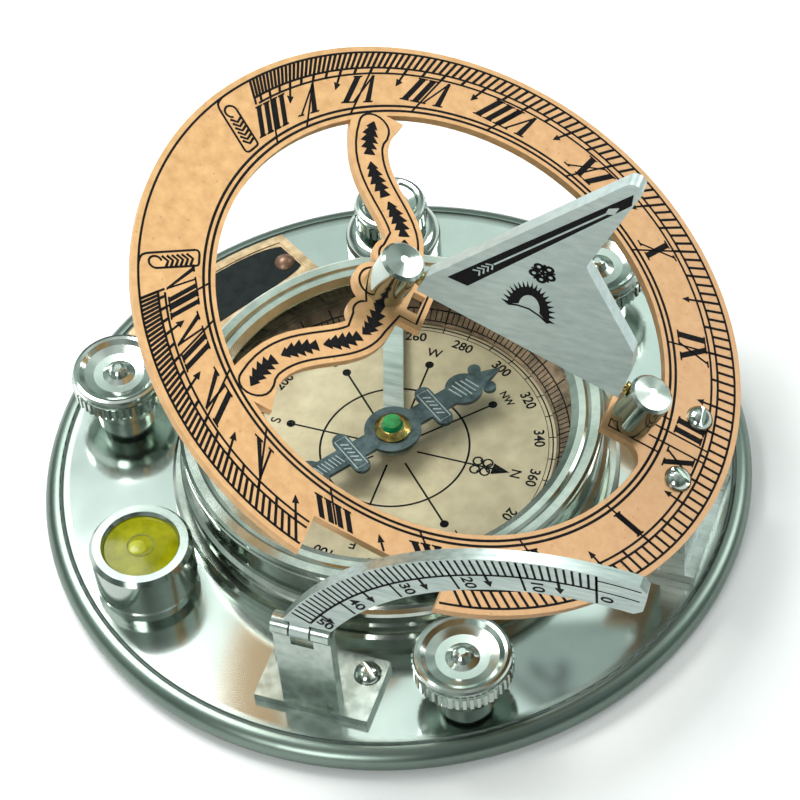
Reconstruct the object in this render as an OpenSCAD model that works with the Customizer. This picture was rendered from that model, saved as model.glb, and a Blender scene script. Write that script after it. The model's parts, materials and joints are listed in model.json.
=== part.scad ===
/* [Base] */
// Diameter of the round base
base_d = 150; // [140:1:170]
// Height of the base over its rounded rim
base_h = 6; // [5:0.1:8]
// Width of the rounded rim outside the flat top
rim_w = 3.7; // [3:0.1:6]
// Thickness of the plate over the hollow underside
plate_t = 2.6; // [2:0.1:4]
// Wall left under the rim
skirt_w = 5.5; // [4:0.1:9]

/* [Compass bowl] */
// Outer diameter of the bowl wall
bowl_d = 87; // [80:0.5:89]
// Thickness of the bowl wall
bowl_wall = 3.2; // [2.4:0.1:4]
// Height of the bowl wall above the base
bowl_h = 14.2; // [14:0.1:15]
// Width of the foot flange outside the wall
foot_w = 3.8; // [2:0.1:4]
// Height of the foot flange
foot_h = 2.4; // [1.5:0.1:3]
// Height of the bright bead above the flange
bead_h = 5.4; // [4:0.1:6]
// Thickness of the bowl floor that carries the dial
floor_t = 3.6; // [2:0.1:4]
// Height of the bezel above the wall
bezel_h = 2.6; // [2.4:0.1:4]
// Width of the bezel's lip over the edge of the glass
bezel_lip = 4.2; // [3:0.1:6]
// Thickness of the bowl glass
glass_t = 1.4; // [1:0.1:2]
// Part of the wall's top that the glass rests on
glass_seat = 1.4; // [0.8:0.1:1.6]

/* [Dial and needle] */
// Thickness of the dial plate
dial_t = 1.2; // [0.8:0.1:1.6]
// Width of the raised degree ring at the edge of the dial
degree_w = 6.2; // [4:0.1:8]
// Height of the degree ring at the bowl wall
degree_h = 3; // [2:0.1:4]
// Length of the needle from the pivot to its point
needle_l = 27.5; // [22:0.5:30]
// Width of the needle bar
needle_w = 4.6; // [3:0.1:6]
// Thickness of the needle
needle_t = 0.9; // [0.6:0.1:1.2]
// Height of the needle above the dial
needle_z = 5.2; // [4.9:0.1:5.4]
// Diameter of the dark hub plate of the needle
needle_hub_d = 12; // [9:0.1:14]
// Diameter of the brass cap
cap_d = 7.8; // [6:0.1:9]
// Diameter of the jewel
jewel_d = 4.8; // [3.6:0.1:5.4]
// Way that the needle points, from noon towards the west
needle_turn = 53; // [0:1:359]
// Diameter of the fixed pivot pin
pivot_d = 1.8; // [1.4:0.1:2.2]

/* [Needle lock] */
// Way from the pivot to the lock turret, from noon towards the west
lock_turn = 109; // [100:1:118]
// Gap between the bowl's foot and the turret
lock_space = 1; // [0.5:0.1:1.5]
// Diameter of the turret housing
lock_d = 21; // [18:0.1:21.4]
// Height of the turret housing above the base
lock_h = 9.4; // [8.8:0.1:11]
// Diameter of the turret knob
lock_knob_d = 16; // [13:0.1:18]
// Height of the turret knob
lock_knob_h = 5.6; // [4:0.1:7]
// Gap between housing and knob
lock_gap = 1.6; // [1:0.1:3]
// Diameter of the turret stem
lock_stem_d = 5; // [4:0.1:6]
// Width of the flat lifting lever
lever_w = 4.3; // [3:0.1:5]
// Thickness of the lever
lever_t = 0.9; // [0.7:0.1:1.2]
// Height of the lever above the dial
lever_z = 2.3; // [2:0.1:2.6]
// Diameter of the ring at the lever's inner end
lever_ring_d = 9; // [8:0.1:11]

/* [Levelling screws] */
// Distance of the three screws inside the base's edge
level_edge = 14; // [14:0.1:15.5]
// Way to the first screw, from noon towards the west
level_turn = 182; // [176:1:184]
// Diameter of the screw
screw_d = 5; // [4:0.1:6]
// Diameter of the fixed bush on the base
bush_d = 12.4; // [10:0.1:14]
// Height of the fixed bush above the base
bush_h = 3.2; // [2.4:0.1:4]
// Travel of each screw up and down
screw_travel = 2; // [1:0.1:2]
// Diameter of the knurled head
knob_d = 20.4; // [17:0.1:20.6]
// Height of the knurled head
knob_h = 6.2; // [5:0.1:8]
// Diameter of the neck under the head
neck_d = 11; // [9:0.1:13]
// Height of the neck under the head
neck_h = 2; // [1.4:0.1:3]
// Number of knurls round a head
knurls = 44; // [24:1:60]
// Depth of a knurl
knurl_t = 0.5; // [0.3:0.05:0.8]

/* [Bubble level] */
// Way to the level, from noon towards the west
vial_turn = 228; // [222:1:232]
// Gap between the bowl's foot and the level's cup
vial_space = 1; // [0.5:0.1:1.5]
// Outer diameter of the level's cup
vial_d = 21.4; // [18:0.1:21.8]
// Height of the level's cup above the base
vial_h = 13; // [9:0.1:15]
// Wall of the level's cup
vial_wall = 3; // [2:0.1:4]
// Depth of the vial's seat below the cup's top
vial_deep = 4; // [3:0.1:6]
// Gap from the cup's top down to the top of the vial
vial_sink = 0.6; // [0.4:0.1:1]

/* [Name plate] */
// Way to the plate, from noon towards the west
name_turn = 148; // [146:1:150]
// Gap between the bowl's foot and the plate's straight edge
name_space = 6.3; // [5.7:0.1:8.7]
// Length of the straight edge
name_l = 43; // [34:0.5:43]
// Thickness of the plate
name_t = 0.9; // [0.6:0.1:1.4]
// Width of the copper border round the dark field
name_border = 1.9; // [1:0.1:3]
// Diameter of the rivet heads
rivet_d = 4.6; // [3:0.1:5]

/* [Chapter ring] */
// Outer diameter of the ring
ring_d = 130; // [126:1:134]
// Width of the engraved band
band_w = 17; // [14:0.5:19]
// Thickness of the ring
ring_t = 1.8; // [1.4:0.1:2.6]
// Tilt of the ring in use
tilt = 26; // [0:1:60]
// Steepest tilt of the ring
tilt_most = 60; // [58:1:60]
// Way in from the ring's edge to its hinge pin
hinge_inset = 5; // [4.5:0.1:6]
// Depth of the hinge pin below the ring's face
pin_drop = 7.6; // [7.4:0.1:8.6]
// Distance of the hinge pin inside the base's edge
hinge_edge = 10.5; // [10.2:0.1:12]
// Height of the hinge pin above the base
hinge_up = 17.5; // [17:0.1:20]
// Diameter of the hinge pin
pin_d = 2.6; // [2:0.1:3]
// Diameter of the hinge knuckles
knuckle_d = 6; // [5:0.1:6.2]
// Length of the hinge along the noon edge
hinge_l = 28; // [24:0.5:29]
// Diameter of the two round screw heads
head_d = 5.8; // [4.5:0.1:6.4]
// Distance between the two screws
head_gap = 16; // [12:0.5:18]
// Way in from the ring's edge to the two screws
head_in = 9.2; // [8.8:0.1:9.6]
// Length of the notch in the ring's east edge
notch_l = 28; // [27:0.5:29]
// Gap between the notch's north end and the arc at the steepest tilt
notch_gap = 1.5; // [1:0.1:2]
// Depth of the notch
notch_w = 9; // [8.6:0.1:10]
// Width of an arm
arm_w = 8.2; // [6.5:0.1:10]
// Way that an arm bows out to the side near the centre
arm_bow = 21; // [18:0.5:23]
// Distance of the dial centre south of the ring's middle
foot_south = 13.5; // [10:0.5:16]
// Width of the tongue at noon
tongue_w = 11; // [10:0.1:13]
// Width of the square tab north of the centre
tab_w = 11.6; // [10:0.1:13]
// Length of the tab from the dial centre
tab_l = 9.8; // [8:0.1:12]

/* [Gnomon] */
// Distance between the two posts
post_gap = 56; // [50:0.5:57]
// Diameter of a post
post_d = 9; // [7:0.1:9.4]
// Height of a post above the ring
post_h = 10.5; // [9:0.1:14]
// Depth of the gnomon's pivots below the post tops
pivot_down = 2.6; // [2:0.1:4]
// Thickness of the gnomon plate
gnomon_t = 3; // [2.4:0.1:3.6]
// Height of the gnomon's tip above its pivots
tip_h = 56.5; // [50:0.5:58]
// Angle of the style edge
style = 68.5; // [66:0.5:71]
// Width of the gnomon's round tip
tip_w = 3.6; // [2.6:0.1:4.6]
// Height of the gnomon's square inner end
heel_h = 5.3; // [4.4:0.1:7]
// Part of the gnomon below its pivots
gnomon_low = 2.1; // [1.7:0.1:2.4]
// Gap between the gnomon and a post
gnomon_gap = 0.7; // [0.5:0.1:1.2]
// Diameter of the small brass pivots
pivot_pin_d = 1.5; // [1.2:0.1:1.6]

/* [Latitude arc] */
// Radius of the arc
arc_r = 67.5; // [67:0.1:68]
// Depth of the arc's centre below the ring's hinge pin
arc_down = 21; // [20.5:0.1:21.5]
// Width of the arc
arc_w = 8.8; // [8:0.1:9]
// Thickness of the arc
arc_t = 2.6; // [2:0.1:3]
// End of the arc above level, in degrees
arc_end = 98; // [90:1:100]
// Way in from the ring's edge to the arc's inner face
arc_in = 3; // [2.8:0.1:3.2]
// Diameter of the arc's hinge pin
arc_pin_d = 1.8; // [1.4:0.1:2]
// Diameter of the arc's hinge knuckles
arc_knuckle_d = 4.6; // [4:0.1:5]
// Width of the arc's foot along the pin
arc_foot_w = 12; // [10:0.5:14]
// Width of the arc's tongue in the fork
arc_tongue_w = 4; // [3:0.1:5]
// Length of the bracket's base plate
bracket_l = 24; // [22:0.5:26]
// Width of the bracket's base plate
bracket_w = 15; // [13:0.1:15.5]
// Thickness of the bracket's base plate
bracket_t = 2; // [1.5:0.1:2.6]

/* [Fits] */
// Radial clearance of a pin in its bore
fit = 0.05; // [0.02:0.01:0.08]
// Gap between pieces that move past each other
run = 0.4; // [0.3:0.05:0.6]
// Gap at a seat between two fixed round pieces
seat = 0.02; // [0.01:0.01:0.04]
// Height of the screw tips above the table
tip_up = 0.3; // [0.2:0.1:0.6]

/* [Hidden] */
$fn = 96;
base_r = base_d / 2;
flat_r = base_r - rim_w;
top = base_h;
hollow_r = base_r - skirt_w;
bowl_r = bowl_d / 2;
inner_r = bowl_r - bowl_wall;
floor_z = top + floor_t;
dial_z = floor_z + dial_t;
wall_z = top + bowl_h;
glass_r = inner_r + glass_seat;
view_r = glass_r - bezel_lip;
foot_r = bowl_r + foot_w;
bezel_z = wall_z + bezel_h;
lever_low = dial_z + lever_z;
lever_pin_r = inner_r + 0.7;
needle_low = dial_z + needle_z;
needle_top = needle_low + needle_t;
cap_low = needle_low - 0.9;
cap_top = needle_top + 1.4;
jewel_top = min(cap_top + 1.1, wall_z - 0.5);
cap_hole_r = pivot_d / 2 + 0.5;
lock_r = foot_r + lock_space + lock_d / 2;
lock_top = top + lock_h;
level_r = base_r - level_edge;
vial_r = foot_r + vial_space + vial_d / 2;
name_r = foot_r + name_space;
hinge_y = base_r - hinge_edge;
hinge_z = top + hinge_up;
ring_r = ring_d / 2;
band_r = ring_r - band_w;
reach = ring_r - hinge_inset;
knuckle_l = hinge_l / 3;
leaf_top = ring_t;
leaf_t = pin_drop - ring_t - knuckle_d / 2 - run;
head_y = ring_r - head_in;
post_y1 = -foot_south;
post_y2 = post_gap - foot_south;
notch_x = ring_r - notch_w;
arc_high = arc_down * cos(tilt_most) + pin_drop + ring_t;
arc_near = sqrt(pow(arc_r - arc_w / 2, 2) - arc_high * arc_high) - arc_down * sin(tilt_most);
notch_y = reach - arc_near + notch_gap - notch_l / 2;
arc_x = ring_r - arc_in;
arc_mid = arc_x + arc_t / 2;
arc_z = hinge_z - arc_down;
fold_z = hinge_z + pin_drop + arc_t / 2 + run;
fold_rise = fold_z - arc_z;
fold_y = hinge_y - sqrt(arc_r * arc_r - fold_rise * fold_rise);
arc_clear = arc_knuckle_d / 2 + run + 0.2;
bush_top = top + bush_h;
neck_z = bush_top + screw_travel + 0.2;
head_z = neck_z + neck_h;
head_top = head_z + knob_h;

// Puts a piece on the base at a turn from noon towards the west
module at_turn(turn, r) rotate(turn) translate([0, r, 0]) children();

// The ring's own frame: middle of its face, y to noon, z out of the face
module ring_frame() {
    translate([0, hinge_y, hinge_z])
        rotate([-tilt, 0, 0])
            translate([0, -reach, pin_drop])
                children();
}

// A bar along x with its middle at the origin
module bar(r, l) rotate([0, 90, 0]) cylinder(r = r, h = l, center = true);

// Outline of a knurled head: round notches cut into a circle
module knurled(d, n) {
    difference() {
        circle(d = d);
        for (i = [0:n - 1])
            rotate(i * 360 / n)
                translate([d / 2 + knurl_t * 0.3, 0])
                    rotate(45)
                        square(knurl_t * 1.5, center = true);
    }
}

// A slotted round head standing on z = 0
module round_head(d, h, slot) {
    difference() {
        rotate_extrude($fn = 32)
            intersection() {
                translate([0, -(d * d / 8 / h - h / 2)])
                    circle(r = d * d / 8 / h + h / 2);
                square([d, h]);
            }
        translate([-d, -slot / 2, h * 0.5])
            cube([2 * d, slot, h]);
    }
}

// Base: a flat disc with a rounded rim and a hollow underside
module base_plate() {
    color("silver")
        difference() {
            union() {
                rotate_extrude($fn = 180) {
                    difference() {
                        union() {
                            square([base_r - base_h / 2, base_h]);
                            translate([base_r - base_h / 2, base_h / 2])
                                circle(d = base_h, $fn = 48);
                        }
                        translate([-1, -1])
                            square([hollow_r + 1, base_h - plate_t + 1]);
                        translate([flat_r, base_h])
                            circle(r = 0.45, $fn = 16);
                    }
                }
                for (i = [0:2])
                    at_turn(level_turn + 120 * i, level_r)
                        translate([0, 0, 1.2])
                            cylinder(d = bush_d, h = base_h - 1.2 - plate_t / 2);
            }
            for (i = [0:2])
                at_turn(level_turn + 120 * i, level_r)
                    translate([0, 0, -1])
                        cylinder(r = screw_d / 2 + fit, h = base_h + 2);
        }
}

// Bowl: turned wall with a stepped foot, a floor and a slot for the lever
module compass_bowl() {
    color("gainsboro")
        difference() {
            rotate_extrude($fn = 144)
                polygon([
                    [0, top],
                    [foot_r, top],
                    [foot_r, top + foot_h - 0.7],
                    [foot_r - 0.7, top + foot_h],
                    [bowl_r + 1.2, top + foot_h],
                    [bowl_r + 0.7, top + foot_h + 0.6],
                    [bowl_r + 0.7, top + bead_h],
                    [bowl_r + 1.5, top + bead_h + 0.4],
                    [bowl_r + 1.7, top + bead_h + 1],
                    [bowl_r + 1.4, top + bead_h + 1.7],
                    [bowl_r + 0.5, top + bead_h + 2.1],
                    [bowl_r, top + bead_h + 2.6],
                    [bowl_r, wall_z],
                    [inner_r, wall_z],
                    [inner_r, floor_z],
                    [0, floor_z]
                ]);
            rotate(lock_turn)
                translate([-lever_w / 2 - run, inner_r - 1, lever_low - 1.4])
                    cube([lever_w + 2 * run, bowl_wall + 6, lever_t + 2.8]);
        }
}

// Bezel: rolled and grooved rim that holds the glass down
module bowl_bezel() {
    color("whitesmoke")
        rotate_extrude($fn = 144)
            polygon([
                [view_r, wall_z + glass_t],
                [glass_r + seat, wall_z + glass_t],
                [glass_r + seat, wall_z],
                [bowl_r + 0.4, wall_z],
                [bowl_r + 0.8, wall_z + 0.3],
                [bowl_r + 0.8, wall_z + 0.9],
                [bowl_r + 0.2, wall_z + 1.2],
                [bowl_r + 0.7, wall_z + 1.6],
                [bowl_r + 0.6, bezel_z - 0.4],
                [bowl_r, bezel_z],
                [bowl_r - 1.8, bezel_z],
                [bowl_r - 2.4, bezel_z - 0.3],
                [bowl_r - 3, bezel_z],
                [view_r + 1.6, bezel_z],
                [view_r, wall_z + glass_t + 0.4]
            ]);
}

// Glass: a plain disc on the inner edge of the wall, inside the bezel
module bowl_glass() {
    color([0.8, 0.9, 0.9, 0.3])
        translate([0, 0, wall_z])
            cylinder(r = glass_r, h = glass_t, $fn = 144);
}

// Dial: flat copper disc on the bowl floor
module compass_dial() {
    color("burlywood")
        translate([0, 0, floor_z])
            cylinder(r = inner_r - seat, h = dial_t, $fn = 144);
}

// Degree ring: sloped ring on the edge of the dial, with a slot under the lever
module degree_ring() {
    color("dimgray")
        difference() {
            rotate_extrude($fn = 144)
                polygon([
                    [inner_r - degree_w, dial_z],
                    [inner_r - 2 * seat, dial_z],
                    [inner_r - 2 * seat, dial_z + degree_h],
                    [inner_r - 0.8, dial_z + degree_h],
                    [inner_r - degree_w, dial_z + 0.5]
                ]);
            rotate(lock_turn)
                translate([-lever_w / 2 - run, inner_r - degree_w - 1, lever_low - run])
                    cube([lever_w + 2 * run, degree_w + 2, degree_h]);
        }
}

// Pivot: stepped pin with a point under the cap
module needle_pivot() {
    color("goldenrod")
        rotate_extrude($fn = 32)
            polygon([
                [0, dial_z],
                [1.9, dial_z],
                [1.9, dial_z + 1],
                [pivot_d / 2, dial_z + 1.6],
                [pivot_d / 2, cap_top - 2.4],
                [0.2, cap_top - 1.1],
                [0, cap_top - 1.1]
            ]);
}

// Outline of the needle, its point towards y
module needle_outline() {
    tail = needle_l * 0.9;
    circle(d = needle_hub_d, $fn = 64);
    translate([-needle_w / 2, -tail * 0.78])
        square([needle_w, tail * 0.78 + needle_l * 0.62]);
    for (s = [-1, 1])
        translate([0, s * needle_l * 0.38])
            hull()
                for (x = [-1, 1])
                    translate([x * needle_w * 0.85, 0])
                        circle(d = needle_w * 0.8, $fn = 24);
    // oval plate, collar and point at the north end
    translate([0, needle_l * 0.66])
        circle(d = needle_w * 1.75, $fn = 32);
    for (x = [-1, 1])
        translate([x * needle_w * 0.62, needle_l * 0.83])
            circle(d = needle_w * 0.6, $fn = 24);
    polygon([
        [-needle_w * 0.5, needle_l * 0.7],
        [needle_w * 0.5, needle_l * 0.7],
        [needle_w * 0.28, needle_l * 0.88],
        [0, needle_l],
        [-needle_w * 0.28, needle_l * 0.88]
    ]);
    // crescent at the south end
    translate([0, -tail * 0.86])
        difference() {
            circle(d = needle_w * 1.9, $fn = 32);
            translate([0, -needle_w * 0.75])
                circle(d = needle_w * 1.5, $fn = 32);
        }
}

// Needle: flat ornamented steel, bored for the cap
module compass_needle() {
    color("darkslategray")
        rotate(needle_turn)
            translate([0, 0, needle_low])
                linear_extrude(needle_t)
                    difference() {
                        needle_outline();
                        circle(r = cap_hole_r + 1.2 + seat, $fn = 48);
                    }
}

// Cap: brass boss through the needle, with a blind bore on the pivot's point
module needle_cap() {
    color("gold")
        rotate_extrude($fn = 48)
            polygon([
                [cap_hole_r, cap_low],
                [cap_hole_r + 1.2, cap_low],
                [cap_hole_r + 1.2, needle_top],
                [cap_d / 2, needle_top],
                [cap_d / 2, needle_top + 0.5],
                [jewel_d / 2 + 0.3, cap_top],
                [0, cap_top],
                [0, cap_top - 1],
                [0.3, cap_top - 1],
                [cap_hole_r, cap_top - 1.8]
            ]);
}

// Jewel: a flat topped green stone on the cap
module needle_jewel() {
    color("green")
        translate([0, 0, cap_top])
            cylinder(r1 = jewel_d / 2, r2 = jewel_d / 2 - 0.5, h = jewel_top - cap_top, $fn = 48);
}

// Lever: flat bar from a ring round the pivot out to the turret's cam, with a cross pin in the wall
module lifter_lever() {
    ring_ro = lever_ring_d / 2;
    color("lightslategray")
        rotate(lock_turn)
            union() {
                translate([0, 0, lever_low])
                    linear_extrude(lever_t)
                        difference() {
                            union() {
                                circle(r = ring_ro, $fn = 48);
                                translate([-lever_w / 2, 0])
                                    square([lever_w, lock_r - lock_d / 2 + 2.6]);
                            }
                            circle(r = cap_hole_r + 1.2 + run, $fn = 48);
                        }
                translate([0, lever_pin_r, lever_low + lever_t / 2])
                    bar(lever_t / 2 + 0.3, lever_w - 0.4);
            }
}

// Turret housing: turned drum with a round shoulder and a mouth for the lever
module lock_housing() {
    r = lock_d / 2;
    color("silver")
        difference() {
            at_turn(lock_turn, lock_r)
                rotate_extrude($fn = 96)
                    difference() {
                        union() {
                            translate([0, top])
                                square([r, lock_h - 3]);
                            translate([0, top])
                                square([r - 3, lock_h]);
                            translate([r - 3, lock_top - 3])
                                circle(r = 3, $fn = 48);
                            translate([0, lock_top])
                                square([lock_stem_d / 2 + 2, 0.8]);
                        }
                        translate([-1, top + 1.2])
                            square([lock_stem_d / 2 + fit + 1, lock_h + 2]);
                        translate([r, top + 1.6])
                            circle(r = 0.5, $fn = 16);
                    }
            rotate(lock_turn)
                translate([-lever_w / 2 - run, lock_r - r - 1, lever_low - 1.4])
                    cube([lever_w + 2 * run, 4.2, lever_t + 2.8]);
        }
}

// Stem: plain shaft from the knob down into the housing
module lock_stem() {
    color("silver")
        at_turn(lock_turn, lock_r)
            translate([0, 0, top + 1.2 + run])
                cylinder(d = lock_stem_d, h = lock_h + 0.8 + lock_gap - 1.2 - run, $fn = 48);
}

// Knurled head with a rolled lip, a dished top and a round nipple, standing on z = 0
module head(d, h, n) {
    r = d / 2 - knurl_t;
    low = h * 0.18;
    band = h * 0.5;
    union() {
        translate([0, 0, low])
            linear_extrude(band)
                knurled(d, n);
        rotate_extrude($fn = 64)
            polygon([
                [0, 0],
                [r * 0.9, 0],
                [r, low],
                [r - 0.1, low + band],
                [r + 0.1, low + band + 0.3],
                [r + 0.2, h - 0.7],
                [r - 0.1, h - 0.2],
                [r - 0.7, h],
                [r - 1.3, h - 0.2],
                [r * 0.76, h * 0.86],
                [r * 0.56, h * 0.76],
                [r * 0.36, h * 0.74],
                [r * 0.24, h * 0.83],
                [r * 0.19, h * 0.95],
                [r * 0.14, h * 1.04],
                [r * 0.08, h * 1.08],
                [0, h * 1.08]
            ]);
    }
}

// Turret knob on its stem
module lock_knob() {
    color("whitesmoke")
        at_turn(lock_turn, lock_r)
            translate([0, 0, lock_top + 0.8 + lock_gap])
                head(lock_knob_d, lock_knob_h, round(knurls * lock_knob_d / knob_d));
}

// Bush: two stepped collars on the base round a levelling screw
module levelling_bush(turn) {
    color("gainsboro")
        at_turn(turn, level_r)
            difference() {
                union() {
                    translate([0, 0, top])
                        cylinder(d = bush_d, h = bush_h * 0.55);
                    translate([0, 0, top])
                        cylinder(d = bush_d - 1.6, h = bush_h);
                }
                translate([0, 0, top - 1])
                    cylinder(r = screw_d / 2 + fit, h = bush_h + 2);
            }
}

// Screw: plain shaft with a rounded tip just above the table
module levelling_screw(turn) {
    r = screw_d / 2;
    color("silver")
        at_turn(turn, level_r)
            rotate_extrude($fn = 48)
                polygon([
                    [0, tip_up],
                    [r - 1.2, tip_up],
                    [r - 0.4, tip_up + 0.4],
                    [r, tip_up + 1.2],
                    [r, neck_z],
                    [0, neck_z]
                ]);
}

// Knob: neck and knurled head on top of a levelling screw
module levelling_knob(turn) {
    color("whitesmoke")
        at_turn(turn, level_r)
            union() {
                translate([0, 0, neck_z])
                    cylinder(d = neck_d, h = neck_h);
                translate([0, 0, head_z])
                    head(knob_d, knob_h, knurls);
            }
}

// Cup of the bubble level, open at the top
module level_cup() {
    r = vial_d / 2;
    color("gainsboro")
        at_turn(vial_turn, vial_r)
            rotate_extrude($fn = 96)
                polygon([
                    [0, top],
                    [r - 1, top],
                    [r - 1, top + 1],
                    [r - 1.6, top + 1.5],
                    [r - 0.6, top + 2.6],
                    [r, top + 3.2],
                    [r, top + vial_h - 1],
                    [r - 0.8, top + vial_h],
                    [r - vial_wall + 0.5, top + vial_h],
                    [r - vial_wall, top + vial_h - 0.8],
                    [r - vial_wall, top + vial_h - vial_deep],
                    [0, top + vial_h - vial_deep]
                ]);
}

// Vial: sealed round glass with a low domed top, in the cup
module level_vial() {
    r = vial_d / 2 - vial_wall - seat;
    color("yellowgreen")
        at_turn(vial_turn, vial_r)
            rotate_extrude($fn = 64)
                polygon([
                    [0, top + vial_h - vial_deep],
                    [r, top + vial_h - vial_deep],
                    [r, top + vial_h - vial_sink - 0.5],
                    [r * 0.7, top + vial_h - vial_sink - 0.2],
                    [r * 0.2, top + vial_h - vial_sink],
                    [0, top + vial_h - vial_sink]
                ]);
}

// Name plate: straight inner edge, curved outer edge
module name_outline(inset) {
    intersection() {
        translate([-name_l / 2 + inset, name_r + inset])
            square([name_l - 2 * inset, flat_r]);
        circle(r = flat_r - 1 - inset, $fn = 180);
    }
}

// Name plate with a raised border
module nameplate() {
    color("peru")
        rotate(name_turn)
            translate([0, 0, top])
                difference() {
                    linear_extrude(name_t)
                        name_outline(0);
                    translate([0, 0, name_t - 0.25])
                        linear_extrude(1)
                            name_outline(name_border);
                    for (s = [-1, 1])
                        translate([s * (name_l / 2 - 4.6), name_r + 6.4, -1])
                            cylinder(r = rivet_d / 4 + seat, h = 4, $fn = 32);
                }
}

// Two domed rivets that hold the name plate
module nameplate_rivets() {
    color("sienna")
        rotate(name_turn)
            for (s = [-1, 1])
                translate([s * (name_l / 2 - 4.6), name_r + 6.4, 0]) {
                    translate([0, 0, top])
                        cylinder(d = rivet_d / 2, h = name_t, $fn = 32);
                    translate([0, 0, top + name_t])
                        rotate_extrude($fn = 32)
                            intersection() {
                                translate([0, -rivet_d * 0.25])
                                    circle(r = rivet_d * 0.56);
                                square([rivet_d, rivet_d]);
                            }
                }
}

// Hinge block: stepped foot, upright and two outer knuckles
module hinge_block() {
    l = hinge_l;
    half = knuckle_d / 2;
    web = knuckle_d - 0.8;
    color("gainsboro")
        difference() {
            union() {
                translate([-l / 2, hinge_y - half - 2.4, top])
                    cube([l, knuckle_d + 4, 2.6]);
                translate([-l / 2, hinge_y - web / 2, top])
                    cube([l, web, hinge_up - half - run]);
                for (s = [-1, 1])
                    translate([s * (l - knuckle_l + run / 2) / 2, hinge_y, hinge_z]) {
                        bar(half, knuckle_l - run / 2);
                        translate([-knuckle_l / 2 + run, -web / 2, -half - run - 1])
                            cube([knuckle_l - 2 * run, web, half + run + 1]);
                    }
            }
            translate([0, hinge_y, hinge_z])
                bar(pin_d / 2 + seat, l + 2);
        }
}

// Hinge pin with a small head at each end
module hinge_pin() {
    color("darkgray")
        translate([0, hinge_y, hinge_z])
            union() {
                bar(pin_d / 2, hinge_l);
                for (s = [-1, 1])
                    translate([s * (hinge_l / 2 + 0.3), 0, 0])
                        bar(pin_d / 2 + 0.5, 0.6);
            }
}

// Hinge leaf: plate under the ring with the middle knuckle
module hinge_leaf() {
    l = hinge_l - 1;
    w = 13;
    mid = knuckle_l - run / 2;
    color("silver")
        ring_frame()
            difference() {
                union() {
                    translate([-l / 2, reach + 3.4 - w, -leaf_top - leaf_t])
                        cube([l, w, leaf_t]);
                    translate([0, reach, -pin_drop])
                        bar(knuckle_d / 2, mid);
                    translate([-mid / 2 + run / 2, reach - knuckle_d / 2 + 0.4, -pin_drop])
                        cube([mid - run, knuckle_d - 0.8, pin_drop - leaf_top - leaf_t / 2]);
                }
                translate([0, reach, -pin_drop])
                    bar(pin_d / 2 + fit, hinge_l);
                for (s = [-1, 1])
                    translate([s * head_gap / 2, head_y, -20])
                        cylinder(r = head_d / 4 + seat, h = 40, $fn = 32);
            }
}

// The two slotted screws that hold the ring to its leaf
module ring_screws() {
    color("whitesmoke")
        ring_frame()
            for (s = [-1, 1])
                translate([s * head_gap / 2, head_y, 0])
                    rotate(s * 28 + 40) {
                        round_head(head_d, 2.3, 0.9);
                        translate([0, 0, -ring_t - leaf_t])
                            cylinder(r = head_d / 4, h = ring_t + leaf_t, $fn = 32);
                    }
}

// Points of a curve with two handles
function curve(a, b, c, d, n) = [
    for (i = [0:n])
        let (t = i / n, s = 1 - t)
            s * s * s * a + 3 * s * s * t * b + 3 * s * t * t * c + t * t * t * d
];

// Point on a curve moved sideways by w
function side(p, i, w) =
    let (a = p[max(i - 1, 0)], b = p[min(i + 1, len(p) - 1)], d = b - a, l = norm(d))
        p[i] + w * [-d[1], d[0]] / l;

// Half width of an arm, which widens just before the band
function flare(a, t) = a * (1 + 0.4 * pow(max(0, t - 0.8) / 0.2, 2));

// An S shaped arm from the dial centre to the band's inner edge
module arm(s) {
    end = band_r + 1;
    p = curve([s * 3.2, -foot_south], [s * arm_bow, -foot_south + 5], [s * (arm_bow - 4), -foot_south - 17],
        end * [s * sin(127), cos(127)], 18);
    n = len(p) - 1;
    a = arm_w / 2;
    polygon(concat(
        [for (i = [0:n]) side(p, i, -flare(a, i / n))],
        [for (i = [0:n]) side(p, n - i, flare(a, 1 - i / n))]
    ));
}

// Outline of the chapter ring seen on its face
module ring_outline() {
    difference() {
        union() {
            difference() {
                circle(r = ring_r, $fn = 240);
                circle(r = band_r, $fn = 180);
            }
            arm(-1);
            arm(1);
            // hub with three round lobes between the arms
            translate([0, -foot_south - 2.3])
                circle(r = 4.6, $fn = 48);
            for (s = [-1, 1])
                translate([s * 7.9, -foot_south - 1.4])
                    circle(r = 4, $fn = 48);
            // square tab with a window towards the middle
            translate([-tab_w / 2, -foot_south - 1])
                square([tab_w, tab_l + 1]);
            // tongue at noon that carries the outer post
            translate([-tongue_w / 2, post_y2 - post_d / 2 - 0.6])
                square([tongue_w, band_r - post_y2 + post_d / 2 + 2]);
            difference() {
                translate([-tongue_w / 2 - 4, band_r - 5])
                    square([tongue_w + 8, 6]);
                for (s = [-1, 1])
                    translate([s * (tongue_w / 2 + 4), band_r - 5])
                        circle(r = 4, $fn = 32);
            }
        }
        // notch that runs along the latitude arc
        translate([notch_x, notch_y - notch_l / 2])
            square([notch_w + 5, notch_l]);
        // window in the tab
        translate([-tab_w / 5, -foot_south + tab_l - 4.2])
            square([tab_w / 2.5, 2.6]);
        for (s = [-1, 1])
            translate([s * head_gap / 2, head_y])
                circle(r = head_d / 4 + seat, $fn = 32);
        for (y = [post_y1, post_y2])
            translate([0, y])
                circle(r = post_d / 4 + seat, $fn = 32);
    }
}

// Chapter ring: flat plate, band, arms, tab and tongue
module chapter_ring() {
    color("sandybrown")
        ring_frame()
            translate([0, 0, -ring_t])
                linear_extrude(ring_t)
                    ring_outline();
}

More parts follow.
